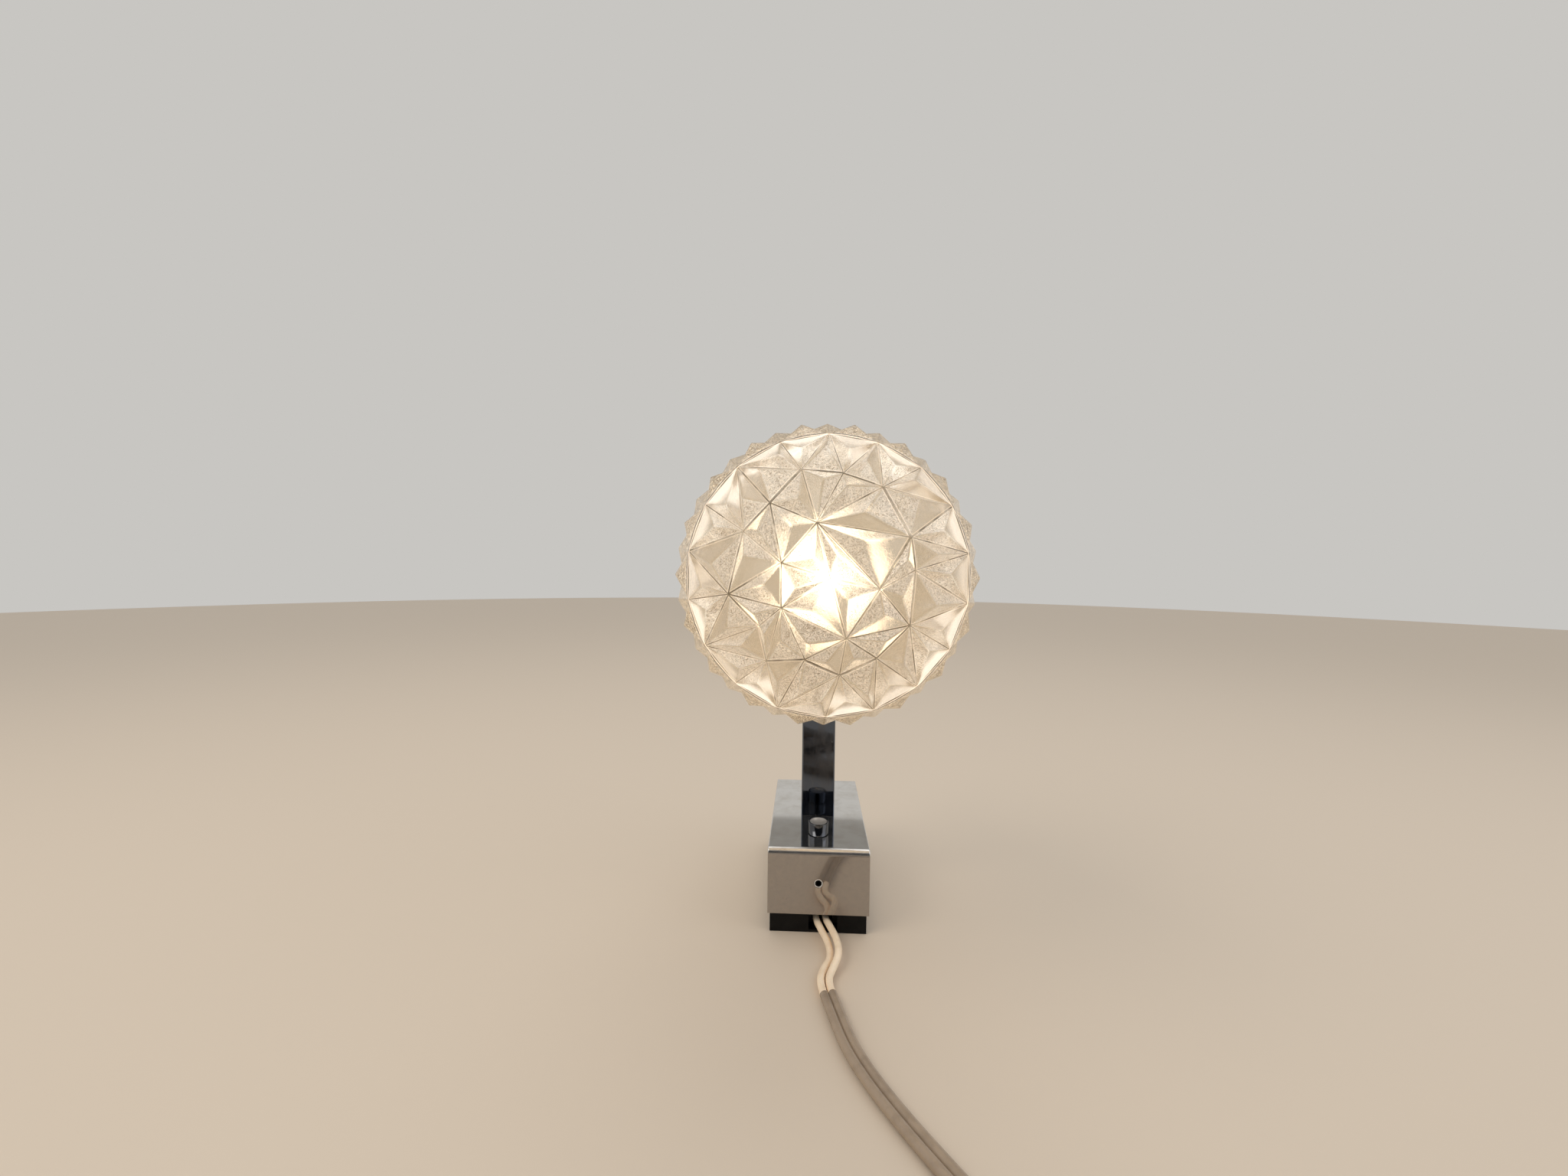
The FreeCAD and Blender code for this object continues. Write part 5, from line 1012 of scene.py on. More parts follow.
    def facet_skin(self) -> tuple[np.ndarray, np.ndarray, dict[str, np.ndarray]]:
        """The outer skin: every facet split into small triangles, with its frost, flash and seam.

        The shares of the three corners are raised to the crowding power and divided by their sum, so that the
        rows of points crowd together at grooves and ridges.

        Returns:
            The points, the triangles, and three numbers at each point. Frost and flash fade to nothing at
            the facet's grooves and ridges, and flash also towards its peak. Seam rises to 1 in the groove.
        """
        n = self.steps
        i, j = np.meshgrid(np.arange(n + 1), np.arange(n + 1), indexing="ij")
        keep = i + j <= n
        number = np.full((n + 1, n + 1), -1)
        number[keep] = np.arange(keep.sum())
        shares = self.crowded(np.stack([i[keep], j[keep], n - i[keep] - j[keep]], axis=1) / n)
        corner, below, beside, across = number[:-1, :-1], number[1:, :-1], number[:-1, 1:], number[1:, 1:]
        upright = np.stack([corner, below, beside], axis=-1)[(i + j < n)[:-1, :-1]]
        inverted = np.stack([below, across, beside], axis=-1)[(i + j < n - 1)[:-1, :-1]]
        small = np.concatenate([upright, inverted])
        facets, beams, tones = self.facets()
        points = self.melt(np.einsum("vk,fkc->fvc", shares, facets), shares[None])
        edge = np.clip(shares.min(axis=1) / self.edge_fade, 0, 1)
        bright = beams[:, None] * np.clip((self.beam_top - shares[:, 2]) / self.beam_fade, 0, 1)
        frost = tones[:, None] * (1 - 0.6 * bright) * edge
        seam = np.broadcast_to(np.clip(1 - shares[:, 2] / self.seam_reach, 0, 1), frost.shape)
        faces = small[None] + (np.arange(len(facets)) * len(shares))[:, None, None]
        values = {"frost": frost.ravel(), "flash": (bright * edge).ravel(), "seam": seam.ravel()}
        return points.reshape(-1, 3), faces.reshape(-1, 3), values

    def neck_and_hollow(self) -> tuple[np.ndarray, np.ndarray]:
        """The neck with its ribs, its lip and bore, and the smooth hollow up to the front pole.

        Rows of points run from the last ring of grooves, over the neck and lip, and through the hollow. Each
        later row is a circle about the globe's axis at its own reach and radius.

        Returns:
            The points and the quads.
        """
        ring = self.crossings()[-1]
        share = np.arange(self.steps) / self.steps
        shares = self.crowded(np.stack([1 - share, share, np.zeros(self.steps)], axis=1))
        pairs = np.stack([ring, np.roll(ring, -1, axis=0), ring], axis=1)
        rim = self.melt(np.einsum("vk,fkc->fvc", shares, pairs), shares[None]).reshape(-1, 3)
        outer, width = self.neck_radius, self.rib_width
        crest = outer + self.rib_height
        shoulder = crest - self.rib_round
        rib = ((1.0, outer), (0.78, shoulder), (0.6, crest), (0.4, crest), (0.22, shoulder), (0.0, outer))
        profile = [(float(-rim[:, 1].min()) - 0.6, outer)]
        profile += [(start + part * width, radius) for start in self.rib_starts for part, radius in rib]
        bore = outer - self.neck_wall
        half = self.neck_wall / 2
        lip = arc(self.neck_end + half, bore + half, half, np.linspace(np.pi / 2, 1.5 * np.pi, 9))
        polar = np.linspace(math.pi - math.asin(bore / self.inner_radius), 0, 60)
        hollow = arc(self.reach, 0, self.inner_radius, polar)
        places, radii = np.concatenate([profile, lip, hollow]).T[..., None]
        azimuth = np.arctan2(rim[:, 2] - GLOBE_HEIGHT, rim[:, 0])
        level = np.broadcast_to(-places, (len(places), len(azimuth)))
        placed = np.stack([radii * np.cos(azimuth), level, GLOBE_HEIGHT + radii * np.sin(azimuth)], axis=-1)
        points = np.concatenate([rim[None], placed])
        return points.reshape(-1, 3), grid_faces(len(points), len(azimuth))

    def build(self, glass: Material) -> None:
        """Makes the globe as one closed piece of glass.

        Args:
            glass: The pressed glass.
        """
        skin, triangles, values = self.facet_skin()
        rest, quads = self.neck_and_hollow()
        plain = np.zeros(len(rest))
        values = {name: np.concatenate([numbers, plain]) for name, numbers in values.items()}
        faces = triangles.tolist() + (quads + len(skin)).tolist()
        dress = Dress("globe_glass", glass, ("glass_shade",), 80.0, Body.GLOBE)
        add_piece("globe", np.concatenate([skin, rest]), faces, dress, values)


# ---- Turned pieces: bulb, gallery, collar, button ----


@dataclass
class GlobeAxisPieces:
    """The bulb and the chromed pieces turned about the globe's axis, counted from the arm forwards."""

    axis: TurningAxis = TurningAxis((0, 0, GLOBE_HEIGHT), (0, -1, 0))
    bulb_reach: float = 88.0
    bulb_radius: float = 22.5
    bulb_neck: float = 9.0
    bulb_foot: float = 57.0
    bulb_wall: float = 0.8
    collar_start: float = 9.0
    collar_end: float = 13.0
    collar_radius: float = 11.0
    waist: float = 1.3
    bore: float = 5.05
    gallery_rim: float = 32.5
    gallery_radius: float = 31.1
    gallery_wall: float = 1.2
    rib_radius: float = 28.35
    rib_middles: tuple[float, ...] = (27.4, 22.4)

    def bulb(self, glass: Material) -> None:
        """The round bulb: a ball that flows into its neck, blown thin.

        The neck's radius grows with the square of the way from the cap to where it meets the ball.

        Args:
            glass: The opal material.
        """
        meet = math.asin((self.bulb_neck + 3.0) / self.bulb_radius)
        ball = arc(self.bulb_reach, 0, self.bulb_radius, np.linspace(math.pi - meet, 0.0, 40))
        foot = np.array([self.bulb_foot, self.bulb_neck])
        share = np.linspace(0, 1, 10, endpoint=False)
        neck = foot + (ball[0] - foot) * np.stack([share, share**2], axis=1)
        outer = np.concatenate([neck, ball])
        outer[-1, 1] = 0.0
        inner = outer.copy()
        shrink = (self.bulb_radius - self.bulb_wall) / self.bulb_radius
        inner[:, 1] *= shrink
        inner[10:, 0] = self.bulb_reach + (inner[10:, 0] - self.bulb_reach) * shrink
        dress = Dress("opal_glass", glass, ("bulb_glass",), 60.0, Body.BULB)
        add_piece("bulb_ball", *self.axis.turn(np.concatenate([outer, inner[::-1]])), dress)

    def collar(self, chrome: Material) -> None:
        """The collar between arm and gallery, whose waist follows a power of a half sine.

        Args:
            chrome: The chrome material.
        """
        share = np.linspace(0, 1, 17)
        waist = self.collar_radius - self.waist * np.sin(np.pi * share) ** 0.8
        side = np.stack([self.collar_start + (self.collar_end - self.collar_start) * share, waist], axis=1)
        profile = np.concatenate([[(self.collar_start, self.bore)], side, [(self.collar_end, self.bore)]])
        add_piece("collar", *self.axis.turn(profile), Dress("chrome", chrome, ("globe_collar",), 35.0))

    def gallery(self, chrome: Material) -> None:
        """The spun cup that grips the globe's neck, with its rolled rim and thread.

        Args:
            chrome: The chrome material.
        """
        back, rim, radius = self.collar_end, self.gallery_rim, self.gallery_radius
        inner = radius - self.gallery_wall
        corners = [(back, self.bore), (back, radius), (rim, radius), (rim, inner)]
        for middle in self.rib_middles:
            corners += [(middle + 1.2, inner), (middle + 0.4, self.rib_radius)]
            corners += [(middle - 0.4, self.rib_radius), (middle - 1.2, inner)]
        corners += [(back + self.gallery_wall, inner), (back + self.gallery_wall, self.bore)]
        radii = [0.0, 2.4, 0.55, 0.55] + [0.2] * 4 * len(self.rib_middles) + [1.2, 0.0]
        turned = self.axis.turn(rounded_outline(corners, radii), 144)
        add_piece("gallery_cup", *turned, Dress("chrome", chrome, ("gallery",), 35.0))


@dataclass
class PushButton:
    """The chromed cap of the switch, a cup with a crown dished for the fingertip, and the spring under it."""

    y: float = -30.0
    top: float = 48.1
    rim: float = 37.7
    ceiling: float = 46.1
    radius: float = 5.125
    wall: float = 1.2
    dish: float = 1.2
    dish_reach: float = 4.3
    edge: float = 0.4
    travel: float = 2.5
    segments: int = 72

    def cap(self, chrome: Material) -> None:
        """Makes the cap.

        The dish is part of a sphere, and a quarter round of the edge's radius joins the rim to the side.

        Args:
            chrome: The chrome material.
        """
        sphere = (self.dish_reach**2 + self.dish**2) / (2 * self.dish)
        across = np.linspace(0, self.dish_reach, 16)
        crown = np.stack([self.top - self.dish + sphere - np.sqrt(sphere**2 - across**2), across], axis=1)
        quarter = np.linspace(0, np.pi / 2, 8)
        round_edge = arc(self.top - self.edge, self.radius - self.edge, self.edge, quarter)
        bore = self.radius - self.wall
        skirt = [(self.rim + 0.2, self.radius), (self.rim, self.radius - 0.2), (self.rim, bore)]
        profile = np.concatenate([crown, round_edge, skirt, [(self.ceiling, bore), (self.ceiling, 0.0)]])
        turned = TurningAxis((0, self.y, 0), (0, 0, 1)).turn(profile, self.segments)
        # The dish attribute marks the crown, which gets a pale painted highlight.
        dish = np.repeat(np.arange(len(profile)) < len(crown), self.segments)
        dress = Dress("chrome", chrome, ("button_cap",), 50.0, Body.BUTTON)
        add_piece("button", *turned, dress, {"dish": dish})

    def spring(self, node: Piece, steel: Material) -> None:
        """Copies the CAD's spring and gives the copy its own mesh.

        Args:
            node: The CAD's spring.
            steel: The spring's steel.
        """
        piece = rounded_copy("button_spring", node, Dress("spring_steel", steel, ("switch_spring",)))
        places = np.empty(3 * len(piece.data.vertices))
        piece.data.vertices.foreach_get("co", places)
        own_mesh(piece)


# ---- Cord ----


@dataclass
class SupplyCord:
    """The two cream leads, the grey flat flex with its coil, and the plug."""

    lead_diameter: float = 3.3
    lobe_diameter: float = 3.7
    lobe_spacing: float = 3.6
    flex_width: float = 7.3
    coil_centre: Pair = (24.2, -229.0)
    coil_radius: float = 50.0
    coil_pitch: float = 8.7
    coil_start: float = 36.0
    coil_turns: float = 5.3
    coil_height: float = 2.95
    layer_rise: float = 4.2
    coil_step: float = 30.0
    tail: float = 24.0
    relief_length: float = 24.0
    relief_halves: tuple[Pair, Pair] = ((4.4, 2.6), (5.5, 4.2))
    relief_rings: int = 6
    relief_groove: float = 0.45
    plug_length: float = 34.0
    plug_neck: Pair = (6.2, 4.6)
    plug_halves: Pair = (17.4, 7.15)
    plug_nose: Pair = (4.4, 0.6)
    pin_length: float = 19.0
    pin_spacing: float = 18.6
    pin_radius: float = 2.0
    pin_root: float = 4.9
    pin_round: float = 1.0
    lead_end_run: float = 7.5
    web: float = 0.6
    left_route: tuple[Point, ...] = (
        (-1.2, -36.0, 4.4), (-1.2, -42.6, 4.4), (1.5, -51.0, 4.1),
        (5.2, -60.5, 2.9), (5.4, -69.0, 1.8), (2.1, -75.4, 1.85),
    )
    right_route: tuple[Point, ...] = (
        (3.6, -36.0, 4.4), (3.6, -42.0, 4.4), (5.5, -51.0, 6.3),
        (8.6, -61.0, 6.2), (9.3, -69.4, 5.2), (6.5, -75.8, 3.0),
    )
    flex_route: tuple[Point, ...] = (
        (3.6, -90.8, 1.85), (6.7, -103.0, 1.85), (10.7, -117.6, 1.85), (17.2, -131.6, 1.85),
        (25.6, -145.4, 1.85), (34.6, -158.6, 1.85), (46.0, -174.3, 1.85),
    )

    def lead_end(self, side: int) -> np.ndarray:
        """Lines a lead's end up with the flex.

        Args:
            side: -1 for the left lead and 1 for the right one.

        Returns:
            The lead's last two control points: before its lobe, and at the lobe.
        """
        first, second = np.array(self.flex_route[:2])
        along = (second - first) / np.linalg.norm(second - first)
        lobe = first + np.cross(UP, along) * side * self.lobe_spacing / 2
        return np.stack([lobe - along * self.lead_end_run, lobe])

    def coil_points(self) -> np.ndarray:
        """Control points of the wound flex: in at a steady rate, up one layer, and out again.

        With t the angle turned and h half of the whole, the radius is the outer radius less the pitch times
        the smaller of t and the rest, in turns; near h it is eased over a half turn, in which the flex
        climbs. The control points lie outside the circle by one over the cosine of half their step, so that
        the smooth line through them has the right radius.

        Returns:
            The control points, one row each.
        """
        total = 360.0 * self.coil_turns
        half = total / 2
        t = np.linspace(0, total, round(total / self.coil_step) + 1)
        inward = np.minimum(t, total - t)
        ease = np.clip(1 - (half - inward) / 90.0, 0, 1)
        radius = self.coil_radius - self.coil_pitch / 360.0 * (inward - 45.0 * ease**2)
        share = np.clip((t - half) / 180.0 + 0.5, 0, 1)
        rise = self.layer_rise * (3 * share**2 - 2 * share**3)
        angle = np.radians(self.coil_start - t)
        wide = radius / math.cos(math.radians(t[1]) / 2)
        x = self.coil_centre[0] + wide * np.cos(angle)
        y = self.coil_centre[1] + wide * np.sin(angle)
        return np.stack([x, y, self.coil_height + rise], axis=1)

    def coil_end(self) -> tuple[np.ndarray, np.ndarray]:
        """Where the coil ends, and which way its spiral goes on: the circle's, turned outwards by the pitch.

        Returns:
            The end, and the way its tail and the plug point from there.
        """
        angle = math.radians(self.coil_start - 360.0 * self.coil_turns)
        outward = np.array([math.cos(angle), math.sin(angle), 0.0])
        along = self.coil_radius * np.cross(outward, UP) + self.coil_pitch / math.tau * outward
        centre = np.array([*self.coil_centre, self.coil_height + self.layer_rise])
        return centre + self.coil_radius * outward, along / np.linalg.norm(along)

    def along_plug(self, distance: np.ndarray) -> np.ndarray:
        """Points on the plug's middle line at these distances from the flex's end."""
        end, along = self.coil_end()
        return end + (self.tail + distance[:, None]) * along

    @staticmethod
    def spline(name: str, route: np.ndarray) -> Piece:
        """A smooth open NURBS curve with the route's points as its control points, in metres.

        Args:
            name: The curve's name.
            route: The control points in millimetres.

        Returns:
            The curve object, which is not yet a piece of the lamp.
        """
        curve = bpy.data.curves.new(name, "CURVE")
        curve.dimensions = "3D"
        curve.resolution_u = 10
        line = curve.splines.new("NURBS")
        line.points.add(len(route) - 1)
        line.points.foreach_set("co", np.column_stack([route * MM, np.ones(len(route))]).ravel())
        line.order_u = 3
        line.use_endpoint_u = True
        return in_scene(name, curve)

    def smooth_line(self, name: str, route: np.ndarray) -> tuple[np.ndarray, float]:
        """Follows the route's NURBS curve.

        Args:
            name: A name for the curve, which is removed again.
            route: The control points in millimetres.

        Returns:
            The curve's points and its length, in millimetres.
        """
        guide = self.spline(name, route)
        bpy.context.view_layer.update()
        mesh = bpy.data.meshes.new_from_object(guide)
        points = np.empty(len(mesh.vertices) * 3)
        mesh.vertices.foreach_get("co", points)
        bpy.data.objects.remove(guide)
        bpy.data.meshes.remove(mesh)
        points = points.reshape(-1, 3) / MM
        return points, float(np.linalg.norm(np.diff(points, axis=0), axis=1).sum())

    def lead(self, node: str, side: int, vinyl: Material) -> None:
        """One round lead, as a curve with a round section.

        Args:
            node: The CAD node it stands for.
            side: -1 for the left lead and 1 for the right one.
            vinyl: The lead's material.
        """
        name = node + "_tube"
        route = self.left_route if side < 0 else self.right_route
        points = np.concatenate([route, self.lead_end(side)])
        piece = self.spline(name, points)
        piece.data.bevel_depth = self.lead_diameter / 2 * MM
        piece.data.bevel_resolution = 6
        piece.data.use_fill_caps = True
        piece.data.materials.append(vinyl)
        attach(piece, Body.FIXED.value)
        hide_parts(node)
        _, length = self.smooth_line(name + "_line", points)
        log.info("%s: %.0f mm long", name, length)

    def lobes(self) -> np.ndarray:
        """The outline of the flat flex: two round lobes with a shallow groove between them.

        In polar form about the middle, each lobe is the far side of a circle, and a web of small thickness
        fills the groove: the radius is the sixth root of the circle's sixth power plus the web's.

        Returns:
            The outline as (sideways, upwards).
        """
        base = np.linspace(0, 2 * np.pi, 56, endpoint=False)
        angle = base + 0.32 * np.sin(2 * base)
        half, radius = self.lobe_spacing / 2, self.lobe_diameter / 2
        cosine, sine = np.cos(angle), np.sin(angle)
        circle = half * np.abs(cosine) + np.sqrt(np.clip(radius**2 - (half * sine) ** 2, 0, None))
        reach = (circle**6 + self.web**6) ** (1 / 6)
        return np.stack([reach * cosine, reach * sine], axis=1)

    def flex(self, vinyl: Material, companions: list[Piece]) -> None:
        """The flat flex, from the leads along the table, through its coil, to the plug.

        Args:
            vinyl: The flex's material.
            companions: Not used.
        """
        tail = self.along_plug(np.array([-0.55 * self.tail, 0.0]))
        route = np.concatenate([self.flex_route, self.coil_points(), tail])
        line, length = self.smooth_line("flex_line", route)
        dress = Dress("grey_vinyl", vinyl, ("flex_run", "flex_coil"), 70.0)
        piece = add_piece("flex", *sweep(line, self.lobes()), dress)
        log.info("flex: %.0f mm long", length)

    @staticmethod
    def flat_oval(width: np.ndarray, height: np.ndarray, power: float, count: int) -> np.ndarray:
        """Superellipse outlines: each coordinate is its half size times a power of the cosine or sine.

        Args:
            width: Half width at each place.
            height: Half height at each place.
            power: Exponent of the superellipse: 2 is an ellipse, and more is squarer.
            count: Points around each outline.

        Returns:
            An array of places by points by two coordinates.
        """
        angle = np.linspace(0, 2 * np.pi, count, endpoint=False)
        circle = np.stack([np.cos(angle), np.sin(angle)], axis=-1)
        return np.stack([width, height], axis=-1)[:, None] * np.sign(circle) * np.abs(circle) ** (2 / power)

    def relief(self, vinyl: Material) -> Piece:
        """The sleeve between flex and plug, tapered towards the flex and ringed by grooves.

        Args:
            vinyl: The plug's material.

        Returns:
            The sleeve.
        """
        share = np.linspace(0, 1, 97)
        rings = 0.5 * (1 - np.cos(math.tau * self.relief_rings * share))
        rings *= self.relief_groove * np.clip(np.sin(np.pi * share) * 3, 0, 1)
        start, end = np.array(self.relief_halves)
        width, height = start[:, None] + (end - start)[:, None] * share - rings
        cap = np.clip(share * 24, 0, 1) ** 0.5
        outline = self.flat_oval(width * (0.86 + 0.14 * cap), height * (0.82 + 0.18 * cap), 2.8, 64)
        skin = sweep(self.along_plug(share * self.relief_length), outline)
        return add_piece("plug_sleeve", *skin, Dress("grey_vinyl", vinyl, ("plug_relief",), 50.0))

    def plug(self, vinyl: Material) -> Piece:
        """The flat plug's body: narrow at the sleeve, widest before its nose, thickest in its middle.

        Half width and height rise by a cosine from the neck's to the whole, and fall again over the second
        half by powers of the way to the nose. Quarter ellipses round both ends.

        Args:
            vinyl: The plug's material.

        Returns:
            The plug's body.
        """
        share = np.linspace(0, 1, 60)
        shoulder = 0.5 - 0.5 * np.cos(np.pi * np.clip(share / 0.5, 0, 1))
        nose = np.clip((share - 0.5) / 0.5, 0, 1)
        neck = np.array(self.plug_neck)
        width, height = neck[:, None] + (self.plug_halves - neck)[:, None] * shoulder
        width -= self.plug_nose[0] * nose**1.4
        height -= self.plug_nose[1] * nose**2
        front = 0.86 + 0.14 * np.sqrt(1 - np.clip((share - 0.955) / 0.045, 0, 1) ** 2)
        ends = front * (0.9 + 0.1 * np.sqrt(1 - np.clip((0.03 - share) / 0.03, 0, 1) ** 2))
        outline = self.flat_oval(width * ends, height * ends, 3.4, 96)
        skin = sweep(self.along_plug(self.relief_length + share * self.plug_length), outline)
        return add_piece("plug_shell", *skin, Dress("grey_vinyl", vinyl, ("plug_body",)))

    def pins(self, metal: Material) -> Piece:
        """The two round pins with rounded tips, as one piece.

        Args:
            metal: The pins' metal.

        Returns:
            The pins.
        """
        start = self.along_plug(np.zeros(1))[0]
        _, along = self.coil_end()
        base = self.relief_length + self.plug_length
        root, end = base - self.pin_root, base + self.pin_length
        soft = self.pin_round
        tip = arc(end - soft, self.pin_radius - soft, soft, np.linspace(np.pi / 2, 0, 8))
        profile = np.concatenate([[(root, 0.0), (root, self.pin_radius)], tip, [(end, 0.0)]])
        across = np.cross(UP, along) * self.pin_spacing / 2
        places = [tuple(start + side * across) for side in (-1, 1)]
        (left, quads), (right, _) = (TurningAxis(place, tuple(along)).turn(profile, 40) for place in places)
        points = np.concatenate([left, right])
        faces = quads + (np.array(quads) + len(left)).tolist()
        return add_piece("plug_pin_pair", points, faces, Dress("nickelled_brass", metal, ("plug_pins",)))


# ---- Studio ----


@dataclass
class Studio:
    """The floor, the world, the soft lamps and the camera of the photograph's view.

    All in metres, apart from the camera's place, which was solved in the part's millimetres.
    """

    floor_radius: float = 3.0
    floor_level: float = -0.0002
    floor_colour: str = "#D9C7B1"
    sky_colour: str = "#C8C6C2"
    sky_light: str = "#E9EDF2"
    sky_strength: float = 0.8
    lamp_aim: Point = (0, -0.05, 0.09)
    camera_place: Point = (-6.87, -329.71, 179.2)
    camera_aim: Point = (-0.04096, 0.99849, -0.03673)
    camera_up: Point = (-0.01285, 0.03623, 0.99926)
    focal_pixels: float = 769.0
    image_width: float = 2048.0

    @staticmethod
    def sheet(name: str, corners: list[Point], colour: str, roughness: float, specular: float) -> Piece:
        """A flat, plain face that belongs to the studio.

        Args:
            name: The sheet's name.
            corners: Its corners in metres, in order.
            colour: Its colour as sRGB hex.
            roughness: How matt it is.
            specular: The strength of its gloss.

        Returns:
            The sheet.
        """
        s = Nodes("plain " + name)
        mesh = bpy.data.meshes.new(name)
        mesh.from_pydata(corners, [], [range(len(corners))])
        mesh.materials.append(s.surface(Base_Color=colour, Roughness=roughness, Specular_IOR_Level=specular))
        piece = in_scene(name, mesh)
        return piece

    def floor(self) -> None:
        """A plain pale floor, 6 m across, at the lamp's wall plane."""
        angle = np.linspace(0, 2 * np.pi, 96, endpoint=False)
        rim = np.stack([np.cos(angle), np.sin(angle), np.zeros(96)], axis=1) * self.floor_radius
        rim[:, 2] = self.floor_level
        self.sheet("floor", rim.tolist(), self.floor_colour, 0.75, 0.2)

    def card(self, name: str, colour: str, y: float, low: float) -> None:
        """An upright card square to Y that only reflections see, to give the chrome something to mirror.

        Args:
            name: The card's name.
            colour: Its colour as sRGB hex.
            y: Its place along the box in metres.
            low: The height of its lower edge in metres.
        """
        wide = abs(y)
        corners = [(-wide, y, low), (wide, y, low), (wide, y, low + wide), (-wide, y, low + wide)]
        piece = self.sheet(name, corners, colour, 0.9, 0.0)
        piece.visible_camera = False
        piece.visible_diffuse = False
        piece.visible_shadow = False
        piece.visible_transmission = False

    def world(self) -> None:
        """An even pale sky: its full colour for what sees it directly, and a softer light for surfaces."""
        world = bpy.data.worlds.new("studio")
        s = Nodes(world)
        mirrored, through = (s.add("LightPath", out=f"Is {ray} Ray") for ray in ("Glossy", "Transmission"))
        indirect = s.add("Math", mirrored, through, operation="MAXIMUM")
        seen = s.add("Math", s.add("LightPath", out="Is Camera Ray"), indirect, operation="MAXIMUM")
        lighting = s.add("Background", self.sky_light, self.sky_strength)
        s.add("OutputWorld", s.add("MixShader", seen, lighting, s.add("Background", self.sky_colour)))
        bpy.context.scene.world = world

    def lamp(self, name: str, place: Point, size: float, power: float, colour: str) -> None:
        """A soft square lamp that points at the middle of the sconce.

        Args:
            name: The lamp's name.
            place: Its place in metres.
            size: Its side in metres.
            power: Its power in watts.
            colour: Its colour as sRGB hex.
        """
        light = bpy.data.lights.new(name, "AREA")
        light.shape = "SQUARE"
        light.size = size
        light.energy = power
        light.color = linear(colour)[:3]
        piece = in_scene(name, light)
        piece.location = place
        aim = Vector(self.lamp_aim) - Vector(place)
        piece.rotation_euler = aim.to_track_quat("-Z", "Y").to_euler()

    def camera(self) -> None:
        """The camera of the photograph: its place, its aim, its slight roll and its wide lens."""
        lens = bpy.data.cameras.new("view")
        lens.sensor_width = 36.0
        lens.lens = lens.sensor_width * self.focal_pixels / self.image_width
        lens.clip_start = 0.005
        piece = in_scene("view", lens)
        ahead = Vector(self.camera_aim).normalized()
        right = ahead.cross(Vector(self.camera_up)).normalized()
        piece.location = Vector(self.camera_place) * MM
        piece.rotation_euler = Matrix((right, right.cross(ahead), -ahead)).transposed().to_euler()
        bpy.context.scene.camera = piece

    def build(self) -> None:
        """Sets up camera, floor, cards, world and lamps."""
        self.camera()
        self.floor()
        self.card("dark card", "#2B2E34", -1.1, 0.08)
        self.card("grey card", "#B2AFA9", 2.6, 1.17)
        self.world()
        self.lamp("key", (-0.7, -0.5, 0.95), 0.6, 3.0, "#FFF8EE")
        self.lamp("fill", (0.9, -0.3, 0.6), 0.7, 1.2, "#EEF3FF")
        self.lamp("top", (0.1, 0.15, 1.2), 0.7, 1.6, "#FFFFFF")
        bpy.context.scene.view_settings.view_transform = "Standard"


# ---- The whole sconce ----

Finish = (
    WornChrome | BlackChrome | DarkTrayFinish | TurnedMetal | SocketSteel
    | Moulding | Vinyl | PressedGlass | LitOpal | ClearGlass
)

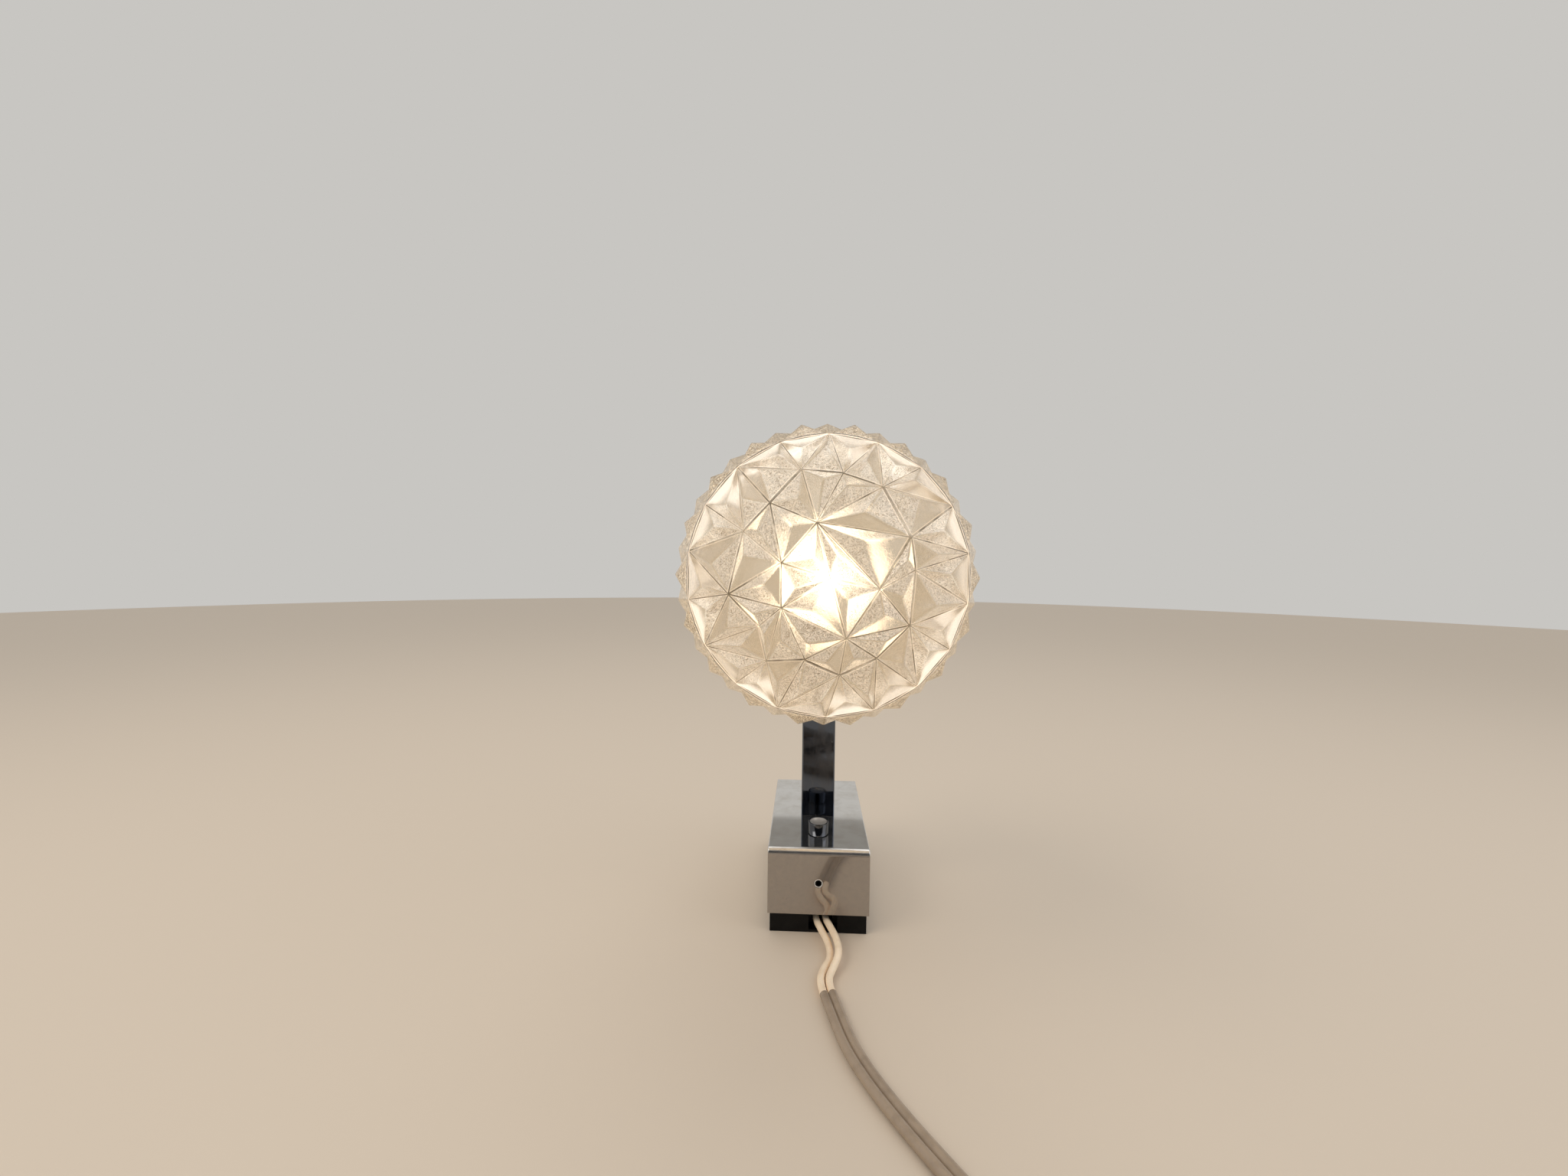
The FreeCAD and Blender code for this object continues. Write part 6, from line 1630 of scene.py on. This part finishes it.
# Each finish, and the CAD nodes that wear it.
FINISHES: dict[str, tuple[Finish, str]] = {
    "chrome": (WornChrome(), "gallery globe_collar"),
    # The box's end faces get a browner film and a darker tint, a painted reflection of the warm floor.
    "box_chrome": (
        WornChrome(
            "dusty chrome plate", "#EAE8E5", "#DAD6D0", haze=0.14, film=0.05, painted_end_reflection=0.24,
            dust_and_painted_light_colour="#8A7867", bend=0.26,
        ),
        "cover",
    ),
    # The button's chrome colours are darkened as painted shade; the pale film on its dish is a painted
    # highlight.
    "button_chrome": (
        WornChrome(
            "handled chrome plate", "#62656C", "#55534F", pitting=0.1, dust_and_painted_light_colour="#FFF3E4", satin=0.55
        ),
        "button_cap",
    ),
    "black_chrome": (BlackChrome(), "arm_tube arm_cap"),
    # The tray's near-black colour is painted shade for the gap under the box.
    "lacquer": (DarkTrayFinish(), "wall_tray"),
    "zinc": (
        TurnedMetal("zinc-plated steel", "#B9B7AE", "#8F8C80"),
        "press_nuts foot_plug foot_nipple foot_washer foot_nut globe_nipple globe_nut"
        " switch_nut switch_bracket terminal_screws block_screw clamp_screws",
    ),
    "spring": (TurnedMetal("drawn spring steel", "#8C8C90", "#5F5E5C", 0.25, 0.12), "switch_spring"),
    "brass": (
        TurnedMetal("pressed brass", "#D8B36A", "#A07E3C", 0.25),
        "switch_tabs terminal_sleeves holder_contact holder_sleeve",
    ),
    "nickel": (
        TurnedMetal("nickel-plated brass", "#CFC9BA", "#A79F8B", 0.2),
        "bulb_cap bulb_contact plug_pins",
    ),
    "tungsten": (TurnedMetal("tungsten wire", "#8D8880", "#5F5A52", 0.4, 0.1), "bulb_filament"),
    "socket_steel": (SocketSteel(), "cover_screws"),
    "phenolic": (
        Moulding("black phenolic", "#1B1A19", "#26231F", 0.32),
        "button_stem switch_body holder_cap holder_skirt clamp_saddle clamp_bar",
    ),
    "cream": (Moulding("cream thermoplastic", "#E4DBC3", "#D8CBAA", 0.38), "terminal_block"),
    "rubber": (Moulding("black rubber", "#1E1E1E", "#2B2A28", 0.7, 0.5, 0.03), "gasket"),
    "porcelain": (Moulding("steatite", "#EDE9E0", "#DDD6C8", 0.55, 0.4, 0.02), "holder_insert"),
    "strap": (Moulding("black nylon strap", "#1A1A1B", "#252525", 0.5, 0.6, 0.03), "coil_tie"),
    "cream_vinyl": (Vinyl("cream vinyl", "#FFE6C6", "#DDBB90"), "lead_tails lead_left lead_right"),
    "grey_vinyl": (
        Vinyl("grey-beige vinyl", "#A6917A", "#6E5D4B", 0.2),
        "flex_run flex_coil plug_relief plug_body",
    ),
    "brown_vinyl": (Vinyl("brown vinyl", "#5A3A26", "#3D281B"), "wire_block_to_switch wire_switch_to_holder"),
    "blue_vinyl": (Vinyl("blue vinyl", "#35507F", "#263A5C"), "wire_block_to_holder"),
    "glass": (PressedGlass(), "glass_shade"),
    "opal": (LitOpal(), "bulb_glass"),
    "clear": (ClearGlass(), "bulb_stem"),
}


class Workshop:
    """Builds the materials once, and dresses every piece and every CAD node with them."""

    def __init__(self, nodes: dict[str, Piece]) -> None:
        """Builds the finishes and gives every CAD node its own.

        Args:
            nodes: The CAD nodes by name.
        """
        self.nodes = nodes
        self.worn = {key: finish.build() for key, (finish, _) in FINISHES.items()}
        for key, (_, names) in FINISHES.items():
            for name in names.split():
                nodes[name].data.materials.clear()
                nodes[name].data.materials.append(self.worn[key])

    def cord(self) -> None:
        """The leads, the flex and its plug."""
        supply = SupplyCord()
        supply.lead("lead_left", -1, self.worn["cream_vinyl"])
        supply.lead("lead_right", 1, self.worn["cream_vinyl"])
        grey = self.worn["grey_vinyl"]
        plug = [supply.relief(grey), supply.plug(grey), supply.pins(self.worn["nickel"])]
        supply.flex(grey, plug + [self.nodes["coil_tie"]])

    def box_and_arm(self) -> None:
        """The cover, tray, arm and arm cap, as copies of their CAD nodes with finely rounded edges."""
        for name, node, slot, finish, edge in (
            ("box_cover", "cover", "chrome", "box_chrome", 0.18),
            ("arm_bar", "arm_tube", "black_chrome", "black_chrome", 0.12),
            ("arm_lid", "arm_cap", "black_chrome", "black_chrome", 0.12),
            ("tray", "wall_tray", "black_lacquer", "lacquer", 0.15),
        ):
            rounded_copy(name, self.nodes[node], Dress(slot, self.worn[finish], (node,)), edge)

    def button(self) -> None:
        """The push button and the spring under it."""
        button = PushButton()
        button.cap(self.worn["button_chrome"])
        button.spring(self.nodes["switch_spring"], self.worn["spring"])

    def globe_end(self) -> None:
        """The globe, the bulb and what carries them."""
        Globe().build(self.worn["glass"])
        turned = GlobeAxisPieces()
        turned.bulb(self.worn["opal"])
        turned.collar(self.worn["chrome"])
        turned.gallery(self.worn["chrome"])


def main() -> None:
    """Loads the frame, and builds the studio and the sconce."""
    logging.basicConfig(level=logging.INFO, format="%(name)s: %(message)s")
    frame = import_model()
    Studio().build()
    workshop = Workshop(frame["nodes"])
    workshop.cord()
    workshop.box_and_arm()
    workshop.button()
    workshop.globe_end()


if __name__ == "__main__":
    main()
